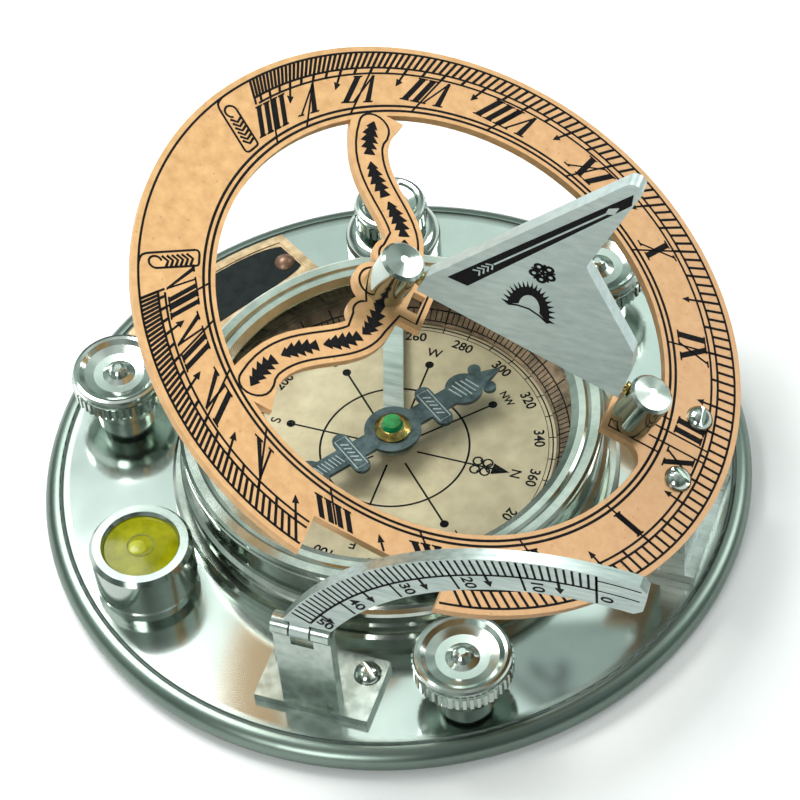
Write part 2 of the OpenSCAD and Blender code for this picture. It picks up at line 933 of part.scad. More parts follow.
// Post: plain pillar with a slightly domed top and a riveted foot
module post(y, way) {
    r = post_d / 2;
    color("whitesmoke")
        ring_frame()
            translate([0, y, 0])
                difference() {
                    rotate_extrude($fn = 64)
                        polygon([
                            [0, -ring_t],
                            [r / 2, -ring_t],
                            [r / 2, 0],
                            [r, 0],
                            [r, post_h - 0.6],
                            [r - 0.6, post_h],
                            [0.8, post_h + 0.4],
                            [0, post_h + 0.4]
                        ]);
                    translate([0, 0, post_h - pivot_down])
                        rotate([way * -90, 0, 0])
                            translate([0, 0, 1])
                                cylinder(r = pivot_pin_d / 2 + seat, h = post_d, $fn = 32);
                }
}

// Post over the dial centre
module post_centre() post(post_y1, 1);

// Post on the noon tongue
module post_noon() post(post_y2, -1);

// Gnomon outline: x along the pivots from the centre post, y outwards
module gnomon_outline() {
    x0 = post_d / 2 + gnomon_gap;
    x1 = post_gap - post_d / 2 - gnomon_gap;
    heel = heel_h - gnomon_low;
    rt = tip_w / 2;
    cy = tip_h - rt;
    cx = x0 + (rt + (cy - heel) * cos(style)) / sin(style);
    union() {
        polygon([
            [x0, -gnomon_low],
            [x1, -gnomon_low],
            [x1 - 1.4, tip_h * 0.13],
            [x1 - 3.5, tip_h * 0.225],
            [cx + rt + 0.8, tip_h * 0.5],
            [cx + rt, tip_h * 0.52],
            [cx + rt, cy],
            [cx, cy],
            [cx - rt * sin(style), cy + rt * cos(style)],
            [x0, heel]
        ]);
        translate([cx, cy])
            circle(r = rt, $fn = 48);
    }
}

// Gnomon: upright plate between the posts, bored at both lower corners
module gnomon() {
    x0 = post_d / 2;
    color("gainsboro")
        ring_frame()
            translate([0, post_y1, post_h - pivot_down])
                difference() {
                    rotate([90, 0, 90])
                        translate([0, 0, -gnomon_t / 2])
                            linear_extrude(gnomon_t)
                                gnomon_outline();
                    for (y = [x0 - 1, post_gap - x0 - 5])
                        translate([0, y, 0])
                            rotate([-90, 0, 0])
                                cylinder(r = pivot_pin_d / 2 + fit, h = 6, $fn = 32);
                }
}

// Gnomon pivots: brass pins from the posts into the plate
module gnomon_pins() {
    x0 = post_d / 2;
    color("goldenrod")
        ring_frame()
            translate([0, post_y1, post_h - pivot_down])
                for (m = [0, 1])
                    translate([0, m * post_gap, 0])
                        rotate([m * 180 - 90, 0, 0]) {
                            translate([0, 0, 1.4])
                                cylinder(d = pivot_pin_d, h = x0 + 2.8, $fn = 32);
                            translate([0, 0, x0 + 0.1])
                                cylinder(d = pivot_pin_d * 2, h = gnomon_gap - 0.3, $fn = 32);
                        }
}

// Latitude arc: upright band that passes through the ring's notch, with a tongue for its own pin
module latitude_arc() {
    ro = arc_r + arc_w / 2;
    ri = arc_r - arc_w / 2;
    low = fold_rise + arc_clear;
    color("gainsboro")
        difference() {
            union() {
                translate([arc_x, hinge_y, arc_z])
                    rotate([90, 0, 90])
                        linear_extrude(arc_t)
                            difference() {
                                intersection() {
                                    difference() {
                                        circle(r = ro, $fn = 240);
                                        circle(r = ri, $fn = 240);
                                    }
                                    translate([-2 * ro, low])
                                        square([4 * ro, 4 * ro]);
                                    rotate(180 - arc_end)
                                        translate([-2 * ro, 0])
                                            square([4 * ro, 2 * ro]);
                                }
                                rotate(180 - arc_end)
                                    for (x = [ri, ro])
                                        translate([x, 0])
                                            rotate(45)
                                                square(arc_w / 4, center = true);
                            }
                translate([arc_mid, fold_y, fold_z])
                    rotate([90, 0, 0])
                        cylinder(d = arc_knuckle_d, h = arc_tongue_w, center = true, $fn = 48);
                translate([arc_x, fold_y - arc_tongue_w / 2, fold_z])
                    cube([arc_t, arc_tongue_w, arc_clear + 1.5]);
            }
            translate([arc_mid, fold_y, fold_z])
                rotate([90, 0, 0])
                    cylinder(r = arc_pin_d / 2 + fit, h = arc_foot_w, center = true, $fn = 32);
        }
}

// Bracket: screwed base plate and an upright forked foot
module arc_bracket() {
    x0 = arc_x + arc_t + 0.8 - bracket_w;
    ear = (arc_foot_w - arc_tongue_w) / 2 - run;
    color("gainsboro")
        difference() {
            union() {
                translate([x0, fold_y - bracket_l / 2, top])
                    cube([bracket_w, bracket_l, bracket_t]);
                translate([arc_x, fold_y - arc_foot_w / 2, top])
                    cube([arc_t, arc_foot_w, fold_z - top]);
                translate([arc_mid, fold_y, fold_z])
                    rotate([90, 0, 0])
                        cylinder(d = arc_knuckle_d, h = arc_foot_w, center = true, $fn = 48);
            }
            translate([arc_x - 3, fold_y - arc_foot_w / 2 + ear, fold_z - arc_knuckle_d / 2 - 2.4])
                cube([arc_t + 6, arc_tongue_w + 2 * run, 20]);
            translate([arc_mid, fold_y, fold_z])
                rotate([90, 0, 0])
                    cylinder(r = arc_pin_d / 2 + seat, h = 40, center = true, $fn = 32);
            for (s = [-1, 1])
                translate([x0 + 4, fold_y + s * (bracket_l / 2 - 3.6), top - 1])
                    cylinder(r = head_d / 4 + seat, h = 6, $fn = 32);
        }
}

// Pin of the arc's hinge
module arc_pin() {
    color("darkgray")
        translate([arc_mid, fold_y, fold_z])
            rotate([90, 0, 0])
                cylinder(d = arc_pin_d, h = arc_foot_w, center = true, $fn = 32);
}

// The two slotted screws of the bracket
module bracket_screws() {
    x0 = arc_x + arc_t + 0.8 - bracket_w;
    color("whitesmoke")
        for (s = [-1, 1])
            translate([x0 + 4, fold_y + s * (bracket_l / 2 - 3.6), top]) {
                cylinder(r = head_d / 4, h = bracket_t, $fn = 32);
                translate([0, 0, bracket_t])
                    rotate(s * 50)
                        round_head(head_d, 2.1, 0.9);
            }
}

base_plate();
compass_bowl();
bowl_bezel();
bowl_glass();
compass_dial();
degree_ring();
needle_pivot();
compass_needle();
needle_cap();
needle_jewel();
lifter_lever();
lock_housing();
lock_stem();
lock_knob();
levelling_bush(level_turn);  // levelling_bush_1
levelling_bush(level_turn + 120);  // levelling_bush_2
levelling_bush(level_turn + 240);  // levelling_bush_3
levelling_screw(level_turn);  // levelling_screw_1
levelling_screw(level_turn + 120);  // levelling_screw_2
levelling_screw(level_turn + 240);  // levelling_screw_3
levelling_knob(level_turn);  // levelling_knob_1
levelling_knob(level_turn + 120);  // levelling_knob_2
levelling_knob(level_turn + 240);  // levelling_knob_3
level_cup();
level_vial();
nameplate();
nameplate_rivets();
hinge_block();
hinge_pin();
hinge_leaf();
ring_screws();
chapter_ring();
post_centre();
post_noon();
gnomon();
gnomon_pins();
latitude_arc();
arc_bracket();
arc_pin();
bracket_screws();
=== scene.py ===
import bpy
import bmesh
import json
import math
from mathutils import Matrix, Vector


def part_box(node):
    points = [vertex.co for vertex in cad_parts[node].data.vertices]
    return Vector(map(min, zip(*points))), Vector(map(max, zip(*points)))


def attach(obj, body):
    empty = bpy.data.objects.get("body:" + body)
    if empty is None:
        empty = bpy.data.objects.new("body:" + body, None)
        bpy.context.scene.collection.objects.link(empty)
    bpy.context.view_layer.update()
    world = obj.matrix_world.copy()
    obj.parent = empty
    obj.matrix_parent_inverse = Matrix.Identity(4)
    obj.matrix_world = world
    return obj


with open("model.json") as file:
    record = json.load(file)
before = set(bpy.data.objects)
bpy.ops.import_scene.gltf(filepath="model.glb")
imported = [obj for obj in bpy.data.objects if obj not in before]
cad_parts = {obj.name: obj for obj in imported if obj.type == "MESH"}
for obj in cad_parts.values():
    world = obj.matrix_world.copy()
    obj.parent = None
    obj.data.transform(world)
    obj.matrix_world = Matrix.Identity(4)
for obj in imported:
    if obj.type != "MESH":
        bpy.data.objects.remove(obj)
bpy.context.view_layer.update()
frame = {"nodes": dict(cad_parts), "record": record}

# Base plate: a spun brass disc under bright nickel plate, with a rolled rim and a hollow underside.
# It lies on the table and carries every other piece. Its rim is rougher and darkened with a painted dark
# reflection, and the groove is rougher still and darkened with painted shade.

MM = 0.001


def add(m, kind, **values):
    """A new node in a material's tree. A value names one of its settings or input sockets."""
    n = m.node_tree.nodes.new(kind)
    for name, value in values.items():
        socket = name.replace("_", " ")
        if socket in n.inputs:
            n.inputs[socket].default_value = value
        else:
            setattr(n, name, value)
    return n


def join(m, a, b):
    """Links one socket to another in a material's tree."""
    m.node_tree.links.new(a, b)


def shader(m):
    """A material's own shader node."""
    return m.node_tree.nodes["Principled BSDF"]


def set_shader(m, **values):
    """Sets sockets of a material's own shader."""
    for name, value in values.items():
        shader(m).inputs[name.replace("_", " ")].default_value = value


def surface(name, dark, light, metal, smooth, rough, scale, grain=(1, 1, 1), low=0.35, high=0.65):
    """Material whose colour and roughness vary with a noise on Object coordinates."""
    m = bpy.data.materials.new(name)
    m.use_nodes = True
    set_shader(m, Metallic=metal)
    where = add(m, "ShaderNodeTexCoord")
    stretch = add(m, "ShaderNodeMapping", Scale=grain)
    noise = add(m, "ShaderNodeTexNoise", Scale=scale, Detail=5.0, Roughness=0.6)
    colour = add(m, "ShaderNodeValToRGB")
    for element, place, shade in zip(colour.color_ramp.elements, (low, high), (dark, light)):
        element.position = place
        element.color = (*shade, 1)
    spread = add(m, "ShaderNodeMapRange", To_Min=smooth, To_Max=rough)
    join(m, where.outputs["Object"], stretch.inputs["Vector"])
    join(m, stretch.outputs["Vector"], noise.inputs["Vector"])
    join(m, noise.outputs["Fac"], colour.inputs["Fac"])
    join(m, noise.outputs["Fac"], spread.inputs["Value"])
    join(m, colour.outputs["Color"], shader(m).inputs["Base Color"])
    join(m, spread.outputs["Result"], shader(m).inputs["Roughness"])
    return m


def dress(m, *names):
    """Gives CAD nodes a material."""
    for name in names:
        for s in frame["nodes"][name].material_slots:
            s.material = m


base_metal = surface("base_nickel", (0.46, 0.52, 0.49), (0.60, 0.66, 0.62), 1.0, 0.07, 0.16, 25)
# the rim's tint is a painted dark reflection, and the groove's colour is painted shade
RIM_START, RIM_FADE, RIM_PAINTED_REFLECTION, RIM_DULL = 69.4 * MM, 1.5 * MM, (0.34, 0.39, 0.36), 0.22
GROOVE_R, GROOVE_HALF, GROOVE_PAINTED_SHADE, GROOVE_DULL = 71.3 * MM, 0.46 * MM, (0.13, 0.16, 0.145), 0.3

# beyond the rim's start the metal is rougher and darkened with a painted dark reflection; in the groove it is
# rougher still and painted over with shade
where = add(base_metal, "ShaderNodeTexCoord")
flat = add(base_metal, "ShaderNodeVectorMath", operation="MULTIPLY")
flat.inputs[1].default_value = (1, 1, 0)
radius = add(base_metal, "ShaderNodeVectorMath", operation="LENGTH")
rim = add(base_metal, "ShaderNodeMapRange", From_Min=RIM_START, From_Max=RIM_START + RIM_FADE)
# painted dark reflection: the rim's colour is multiplied by a dark grey-green
painted_rim_reflection = add(base_metal, "ShaderNodeMix", data_type="RGBA", blend_type="MULTIPLY")
painted_rim_reflection.inputs["B"].default_value = (*RIM_PAINTED_REFLECTION, 1)
groove = add(base_metal, "ShaderNodeMath", operation="COMPARE")
groove.inputs[1].default_value = GROOVE_R
groove.inputs[2].default_value = GROOVE_HALF
# painted shade: the groove's colour is replaced by a near-black grey-green
painted_groove_shade = add(base_metal, "ShaderNodeMix", data_type="RGBA")
painted_groove_shade.inputs["B"].default_value = (*GROOVE_PAINTED_SHADE, 1)
plate_colour = shader(base_metal).inputs["Base Color"]
plate_gloss = shader(base_metal).inputs["Roughness"]
join(base_metal, where.outputs["Object"], flat.inputs[0])
join(base_metal, flat.outputs["Vector"], radius.inputs[0])
join(base_metal, radius.outputs["Value"], rim.inputs["Value"])
join(base_metal, rim.outputs["Result"], painted_rim_reflection.inputs["Factor"])
join(base_metal, plate_colour.links[0].from_socket, painted_rim_reflection.inputs["A"])
join(base_metal, radius.outputs["Value"], groove.inputs[0])
join(base_metal, groove.outputs["Value"], painted_groove_shade.inputs["Factor"])
join(base_metal, painted_rim_reflection.outputs["Result"], painted_groove_shade.inputs["A"])
join(base_metal, painted_groove_shade.outputs["Result"], plate_colour)
for zone, more in ((rim.outputs["Result"], RIM_DULL), (groove.outputs["Value"], GROOVE_DULL)):
    dull = add(base_metal, "ShaderNodeMath", operation="MULTIPLY_ADD")
    dull.inputs[1].default_value = more
    join(base_metal, zone, dull.inputs[0])
    join(base_metal, plate_gloss.links[0].from_socket, dull.inputs[2])
    join(base_metal, dull.outputs["Value"], plate_gloss)
dress(base_metal, "base_plate")

# Compass bowl: turned from thick brass tube and plated, with a stepped foot, a rolled bead and a bezel.
# It is soldered to the base. The bezel is pressed on over the flat glass and holds it down.

bowl_metal = surface("bowl_nickel", (0.34, 0.38, 0.33), (0.54, 0.58, 0.52), 1.0, 0.07, 0.2, 90)
dress(bowl_metal, "compass_bowl", "bowl_bezel")

glass = surface("clear_glass", (0.96, 0.99, 0.97), (0.99, 1.0, 0.99), 0.0, 0.0, 0.02, 40)
set_shader(glass, Transmission_Weight=1.0, IOR=1.08)
dress(glass, "bowl_glass")

# Compass dial: a thin brass disc with a satin copper wash, on the floor of the bowl.
# The circle, the eight points, the letters and the degree numbers are etched and filled with black.

INK, MERGE = 0.03 * MM, 0.0001 * MM
dial = surface("dial_wash", (0.47, 0.39, 0.25), (0.63, 0.55, 0.37), 0.25, 0.38, 0.55, 220, low=0.3, high=0.7)
dress(dial, "compass_dial")
ink = surface("black_fill", (0.003, 0.003, 0.004), (0.012, 0.011, 0.012), 0.0, 0.65, 0.8, 2000)
set_shader(ink, Specular_IOR_Level=0.12)


def strip(lefts, rights, closed=False, low=-INK / 2, high=INK / 2):
    """Flat solid between two rows of points, for a stroke, a border, a leaf or a disc."""
    mesh = bpy.data.meshes.new("strip")
    n = len(lefts)
    points = [(x, y, z) for z in (high, low) for row in (lefts, rights) for x, y in row]
    faces = []
    for i in range(n if closed else n - 1):
        j = (i + 1) % n
        faces += [(i, j, n + j, n + i), (2 * n + i, 3 * n + i, 3 * n + j, 2 * n + j)]
        faces += [(i, 2 * n + i, 2 * n + j, j), (n + i, n + j, 3 * n + j, 3 * n + i)]
    if not closed:
        faces += [(0, n, 3 * n, 2 * n), (n - 1, 3 * n - 1, 4 * n - 1, 2 * n - 1)]
    mesh.from_pydata(points, [], faces)
    return mesh


def line(path, width, closed=False):
    """Stroke of even width along a row of points."""
    n = len(path)
    lefts, rights = [], []
    for i in range(n):
        a = Vector(path[i - 1 if closed or i else 0])
        b = Vector(path[(i + 1) % n if closed else min(i + 1, n - 1)])
        d = (b - a).normalized() * width / 2
        lefts.append((path[i][0] - d.y, path[i][1] + d.x))
        rights.append((path[i][0] + d.y, path[i][1] - d.x))
    return strip(lefts, rights, closed)


def arc(radius, start, end, middle=(0, 0), steps=None):
    """Points on a circle. Angles run from y towards x, in degrees."""
    steps = steps or max(6, int(abs(end - start) / 2))
    turns = [math.radians(start + (end - start) * i / steps) for i in range(steps + 1)]
    return [(middle[0] + radius * math.sin(t), middle[1] + radius * math.cos(t)) for t in turns]


def ring(radius, width, steps=180):
    """Closed circular line."""
    return line(arc(radius, 0, 360, steps=steps)[:-1], width, True)


def disc(radius, middle=(0, 0), steps=12):
    """Round spot."""
    return strip(arc(radius, -179, -1, middle, steps), arc(radius, 179, 1, middle, steps))


def letters(text, size, place, bold):
    """Cut figures or compass letters, with their middle at a place's origin."""
    font = bpy.data.curves.new("letters", "FONT")
    font.body, font.size, font.offset, font.extrude = text, size, bold, INK / 2
    font.align_x, font.align_y = "CENTER", "CENTER"
    holder = bpy.data.objects.new("letters", font)
    mesh = bpy.data.meshes.new_from_object(holder)
    bpy.data.objects.remove(holder)
    mesh.transform(place)
    return mesh


def spin(turn, radius, height=0.0):
    """Place on a circle: a turn from y towards x, in degrees, with the place's own y pointing outwards."""
    return Matrix.Rotation(math.radians(-turn), 4, "Z") @ Matrix.Translation((0, radius, height))


def close(mesh):
    """Merges a mesh's doubles, and turns its faces outwards where the shell came out inside out."""
    bm = bmesh.new()
    bm.from_mesh(mesh)
    bmesh.ops.remove_doubles(bm, verts=bm.verts, dist=MERGE)
    if bm.calc_volume(signed=True) < 0:
        bmesh.ops.reverse_faces(bm, faces=bm.faces)
    bm.to_mesh(mesh)
    bm.free()


def piece(name, meshes, place, m, body):
    """Puts closed meshes together as one finished piece that rides on a body."""
    bm = bmesh.new()
    for mesh in meshes:
        close(mesh)
        bm.from_mesh(mesh)
    bm.transform(place)
    mesh = bpy.data.meshes.new(name)
    bm.to_mesh(mesh)
    mesh.materials.clear()
    mesh.materials.append(m)
    for f in mesh.polygons:
        f.material_index = 0
    o = bpy.data.objects.new(name, mesh)
    bpy.context.collection.objects.link(o)
    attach(o, body)


def maths(tree, what, *values):
    """A maths node on sockets or plain numbers."""
    n = tree.nodes.new("ShaderNodeMath")
    n.operation = what
    for socket, value in zip(n.inputs, values):
        if isinstance(value, (int, float)):
            socket.default_value = value
        else:
            tree.links.new(value, socket)
    return n.outputs[0]


# Marks on a circle, each on a line from a centre that may lie below the circle's own middle, as a
# sundial's hour lines do. The shape that the modifier is given stands one unit long at the origin.

rays = bpy.data.node_groups.new("marks_on_rays", "GeometryNodeTree")
rays.interface.new_socket("Geometry", in_out="INPUT", socket_type="NodeSocketGeometry")
rays.interface.new_socket("Geometry", in_out="OUTPUT", socket_type="NodeSocketGeometry")
RAY_INPUTS = {}
for label in ("Count", "First", "Step", "Inner", "Outer", "Width", "Factor", "Offset"):
    kind = "NodeSocketInt" if label == "Count" else "NodeSocketFloat"
    RAY_INPUTS[label] = rays.interface.new_socket(label, in_out="INPUT", socket_type=kind).identifier
RAY_INPUTS["Material"] = rays.interface.new_socket(
    "Material", in_out="INPUT", socket_type="NodeSocketMaterial").identifier
given = rays.nodes.new("NodeGroupInput").outputs
points = rays.nodes.new("GeometryNodePoints")
rays.links.new(given["Count"], points.inputs["Count"])
index = rays.nodes.new("GeometryNodeInputIndex").outputs["Index"]
hour = maths(rays, "ADD", given["First"], maths(rays, "MULTIPLY", index, given["Step"]))
turn = maths(rays, "ARCTAN2", maths(rays, "MULTIPLY", given["Factor"], maths(rays, "SINE", hour)),
             maths(rays, "COSINE", hour))
sine, cosine = maths(rays, "SINE", turn), maths(rays, "COSINE", turn)
aside = maths(rays, "POWER", maths(rays, "MULTIPLY", given["Offset"], sine), 2.0)
ahead = maths(rays, "MULTIPLY", given["Offset"], cosine)
reach = []
for edge in ("Inner", "Outer"):
    square = maths(rays, "SUBTRACT", maths(rays, "POWER", given[edge], 2.0), aside)
    reach.append(maths(rays, "ADD", ahead, maths(rays, "SQRT", square)))
middle = maths(rays, "MULTIPLY", maths(rays, "ADD", *reach), 0.5)
spot = rays.nodes.new("ShaderNodeCombineXYZ")
rays.links.new(maths(rays, "MULTIPLY", middle, sine), spot.inputs["X"])
ahead_of_centre = maths(rays, "MULTIPLY", middle, cosine)
rays.links.new(maths(rays, "SUBTRACT", ahead_of_centre, given["Offset"]), spot.inputs["Y"])
rays.links.new(spot.outputs["Vector"], points.inputs["Position"])
swing = rays.nodes.new("ShaderNodeCombineXYZ")
rays.links.new(maths(rays, "MULTIPLY", turn, -1.0), swing.inputs["Z"])
size = rays.nodes.new("ShaderNodeCombineXYZ")
size.inputs["Z"].default_value = 1.0
rays.links.new(given["Width"], size.inputs["X"])
rays.links.new(maths(rays, "SUBTRACT", reach[1], reach[0]), size.inputs["Y"])
copies = rays.nodes.new("GeometryNodeInstanceOnPoints")
rays.links.new(points.outputs[0], copies.inputs["Points"])
rays.links.new(given["Geometry"], copies.inputs["Instance"])
rays.links.new(swing.outputs["Vector"], copies.inputs["Rotation"])
rays.links.new(size.outputs["Vector"], copies.inputs["Scale"])
real = rays.nodes.new("GeometryNodeRealizeInstances")
paint = rays.nodes.new("GeometryNodeSetMaterial")
rays.links.new(copies.outputs["Instances"], real.inputs["Geometry"])
rays.links.new(real.outputs["Geometry"], paint.inputs["Geometry"])
rays.links.new(given["Material"], paint.inputs["Material"])
rays.links.new(paint.outputs["Geometry"], rays.nodes.new("NodeGroupOutput").inputs["Geometry"])


def marks(shape, count, first, step, inner, outer, width, factor=1.0, offset=0.0):
    """Copies of a unit shape on rays, as a plain mesh. First and step are angles in degrees."""
    o = bpy.data.objects.new("marks", shape)
    bpy.context.collection.objects.link(o)
    mod = o.modifiers.new("rays", "NODES")
    mod.node_group = rays
    values = dict(Count=count, First=math.radians(first), Step=math.radians(step), Inner=inner, Outer=outer,
                  Width=width, Factor=factor, Offset=offset, Material=ink)
    for label, value in values.items():
        mod[RAY_INPUTS[label]] = value
    bpy.context.view_layer.update()
    mesh = bpy.data.meshes.new_from_object(o.evaluated_get(bpy.context.evaluated_depsgraph_get()))
    o.modifiers.remove(mod)
    bpy.data.objects.remove(o)
    return mesh


bar = strip([(-0.5, -0.5), (-0.5, 0.5)], [(0.5, -0.5), (0.5, 0.5)])
spear = strip([(-0.16, 0.5), (-0.16, -0.02), (-0.5, -0.02), (-0.04, -0.5)],
              [(0.16, 0.5), (0.16, -0.02), (0.5, -0.02), (0.04, -0.5)])

dial_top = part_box("compass_dial")[1].z
COMPASS = ("N", "NE", "E", "SE", "S", "SW", "W", "NW")
ROSE_R, BALL_R, LETTER_R, NUMBER_R, SCALE_R = (v * MM for v in (15.8, 23.3, 26.6, 30.4, 33.4))
BALL, STAR_R, SCALE_GAP, FIGURE, HALF_FIGURE = (v * MM for v in (0.95, 5, 0.9, 3.1, 2.3))
etched = [ring(ROSE_R, 0.45 * MM), ring(SCALE_R, 0.3 * MM), ring(SCALE_R - SCALE_GAP, 0.15 * MM)]
etched.append(marks(bar, 8, 0, 45, STAR_R, BALL_R - 0.6 * MM, 0.42 * MM))
etched += [disc(BALL, centre) for centre in arc(BALL_R, 45, 315, steps=6)]
etched.append(marks(bar, 36, 0, 10, SCALE_R - SCALE_GAP, SCALE_R + 1 * MM, 0.25 * MM))
for i, word in enumerate(COMPASS):
    etched.append(letters(word, FIGURE if len(word) == 1 else HALF_FIGURE, spin(45 * i, LETTER_R), 0.05 * MM))
for i in range(18):
    etched.append(letters(str(20 * i or 360), FIGURE, spin(20 * i, NUMBER_R), 0.07 * MM))
# the north point is a spearhead over two small rings on each side
TIP, WING, NECK, WING_W, NECK_W = (v * MM for v in (25.4, 21.6, 22.1, 1.5, 0.3))
RING_LINE, RING_X, RINGS_Y = 0.4 * MM, 1.15 * MM, (18.1 * MM, 20.3 * MM)
etched.append(strip([(0, TIP), (-WING_W, WING), (-NECK_W, NECK)],
                    [(0.01 * MM, TIP), (WING_W, WING), (NECK_W, NECK)]))
for s in (-1, 1):
    for y in RINGS_Y:
        etched.append(line(arc(1 * MM, 0, 360, (s * RING_X, y), 16)[:-1], RING_LINE, True))
    etched.append(line([(s * 1.6 * MM, 18.6 * MM), (-s * 1.2 * MM, 21 * MM)], RING_LINE))
piece("dial_etching", etched, Matrix.Translation((0, 0, dial_top + INK / 4)), ink, "base")

# Degree ring: a sloped ring of browned copper that stands on the edge of the dial.
# Its degree lines are cut by hand and filled with black.

ring_low, ring_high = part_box("degree_ring")
browned = surface("browned_copper", (0.10, 0.07, 0.045), (0.27, 0.19, 0.12), 0.7, 0.3, 0.5, 300)
dress(browned, "degree_ring")
SLOPE_IN, SLOPE_OUT, SLOPE_LOW, LIFT = 34.1 * MM, 39.5 * MM, 0.5 * MM, 0.03 * MM
DEGREES_IN, DEGREES_OUT = SLOPE_IN + 0.7 * MM, SLOPE_IN + 3 * MM
slope = (ring_high.z - ring_low.z - SLOPE_LOW) / (SLOPE_OUT - SLOPE_IN)
cuts = [marks(bar, 180, 0, 2, DEGREES_IN, DEGREES_OUT, 0.25 * MM),
        marks(bar, 36, 0, 10, SLOPE_IN + 0.2 * MM, SLOPE_OUT - 0.5 * MM, 0.35 * MM),
        ring(DEGREES_OUT, 0.3 * MM), ring(DEGREES_IN, 0.25 * MM)]
for mesh in cuts:
    for v in mesh.vertices:
        v.co.z += SLOPE_LOW + (math.hypot(v.co.x, v.co.y) - SLOPE_IN) * slope + LIFT
piece("degree_lines", cuts, Matrix.Translation((0, 0, ring_low.z)), ink, "base")

# Needle: flat blued steel, sawn and filed, hatched with a graver on its cross plates and its bar.
# A brass cap with a green stone turns on the point of the pivot.

blued = surface("blued_steel", (0.03, 0.052, 0.06), (0.085, 0.13, 0.145), 0.65, 0.28, 0.48, 500)
dress(blued, "compass_needle")
brass = surface("cap_brass", (0.30, 0.22, 0.06), (0.52, 0.42, 0.16), 1.0, 0.15, 0.32, 500)
dress(brass, "needle_cap", "needle_pivot", "gnomon_pins")
stone = surface("green_stone", (0.0, 0.16, 0.05), (0.01, 0.42, 0.14), 0.0, 0.02, 0.08, 260)
set_shader(stone, Coat_Weight=1.0)
dress(stone, "needle_jewel")
etch = surface("graver_cut", (0.30, 0.37, 0.40), (0.46, 0.54, 0.56), 0.8, 0.3, 0.45, 900)
needle_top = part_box("compass_needle")[1].z
NEEDLE_TURN, NEEDLE_L, PLATE_R, PLATE_W, PLATE_H = -53, 27.5 * MM, 10.45 * MM, 8.6 * MM, 2.6 * MM
HATCH_W, PLATE_HATCH, HEAD_HATCH, TAIL_HATCH = 0.3 * MM, 1.25 * MM, 1.1 * MM, 0.9 * MM
hatch = []
for s in (-1, 1):
    y = s * PLATE_R
    corners = [(-1, -1), (1, -1), (1, 1), (-1, 1)]
    hatch.append(line([(a * PLATE_W / 2, y + b * PLATE_H / 2) for a, b in corners], 0.22 * MM, True))
    for i in range(5):
        x = (i - 2) * PLATE_HATCH
        hatch.append(line([(x - 0.5 * MM, y - 0.7 * MM), (x + 0.5 * MM, y + 0.7 * MM)], HATCH_W))
for i in range(5):
    y = NEEDLE_L * 0.66 + (i - 2) * HEAD_HATCH
    reach = (2.4 - 0.35 * abs(i - 2)) * MM
    hatch.append(line([(-reach, y - 0.5 * MM), (reach, y + 0.5 * MM)], HATCH_W))
for i in range(7):
    y = -13.5 * MM - i * TAIL_HATCH
    hatch.append(line([(-1.3 * MM, y), (1.3 * MM, y + 0.6 * MM)], 0.2 * MM))
piece("needle_hatching", hatch, spin(NEEDLE_TURN, 0, needle_top + INK / 4), etch, "needle")

# Needle lock: a turned drum on the base with a knurled knob, and a flat lever that lifts the needle.
# The drum and knob are plated like the base. The lever is rolled strip with its sheared edges left.

nickel = surface("polished_nickel", (0.40, 0.46, 0.42), (0.57, 0.63, 0.58), 1.0, 0.08, 0.2, 60)
dress(nickel, "lock_housing", "lock_stem", "lock_knob")
rolled = surface("rolled_strip", (0.27, 0.33, 0.31), (0.44, 0.50, 0.47), 0.9, 0.25, 0.42, 700, (1, 0.1, 1))
dress(rolled, "lifter_lever")

# Levelling feet: three knurled heads on screws that pass through stepped bushes in the base.
# They are turned brass with bright plate and have dished tops, all dressed in the one polished nickel.

for i in range(1, 4):
    dress(nickel, f"levelling_bush_{i}", f"levelling_screw_{i}", f"levelling_knob_{i}")

# Round level: a plated cup that is soldered to the base and holds a sealed glass of yellow-green spirit.
# The glass has an etched circle, and a bubble stands in it.

dress(nickel, "level_cup")
spirit = surface("yellow_spirit", (0.17, 0.18, 0.0), (0.32, 0.32, 0.005), 0.0, 0.05, 0.15, 160)
set_shader(spirit, Specular_IOR_Level=0.12)
dress(spirit, "level_vial")
vial_low, vial_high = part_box("level_vial")
vial_place = Matrix.Translation(((vial_low.x + vial_high.x) / 2, (vial_low.y + vial_high.y) / 2, vial_high.z))
dark_spirit = surface("etched_circle", (0.10, 0.11, 0.0), (0.20, 0.20, 0.01), 0.0, 0.1, 0.2, 800)
piece("level_circle", [ring(2.7 * MM, 0.3 * MM, 48)], vial_place, dark_spirit, "base")
# the bubble has the spirit's colour, lightened as a painted highlight
bubble = surface("air_bubble", (0.30, 0.31, 0.01), (0.46, 0.47, 0.05), 0.0, 0.1, 0.2, 300)
set_shader(bubble, Specular_IOR_Level=0.25)
BUBBLE_R, BUBBLE_H, ROWS, ROUND = 1.9 * MM, 0.35 * MM, 6, 24
climb = [math.radians(90 * k / ROWS) for k in range(ROWS)]
dome = [(BUBBLE_R * math.cos(c) * math.cos(t), BUBBLE_R * math.cos(c) * math.sin(t), BUBBLE_H * math.sin(c))
        for c in climb for t in (math.tau * k / ROUND for k in range(ROUND))] + [(0, 0, BUBBLE_H)]
faces = [tuple(reversed(range(ROUND)))]
for k in range(ROUND):
    turned = (k + 1) % ROUND
    for first in range(0, ROUND * (ROWS - 1), ROUND):
        faces.append((first + k, first + turned, first + ROUND + turned, first + ROUND + k))
    faces.append((ROUND * (ROWS - 1) + k, ROUND * (ROWS - 1) + turned, ROUND * ROWS))
lens = bpy.data.meshes.new("bubble")
lens.from_pydata(dome, [], faces)
bubble_place = vial_place @ Matrix.Translation((0.7 * MM, -0.4 * MM, 0))
piece("level_bubble", [lens], bubble_place, bubble, "base")

# Name plate: a copper plate with a raised border, sunk field and two domed rivets.
# The field is filled with black and left bare.

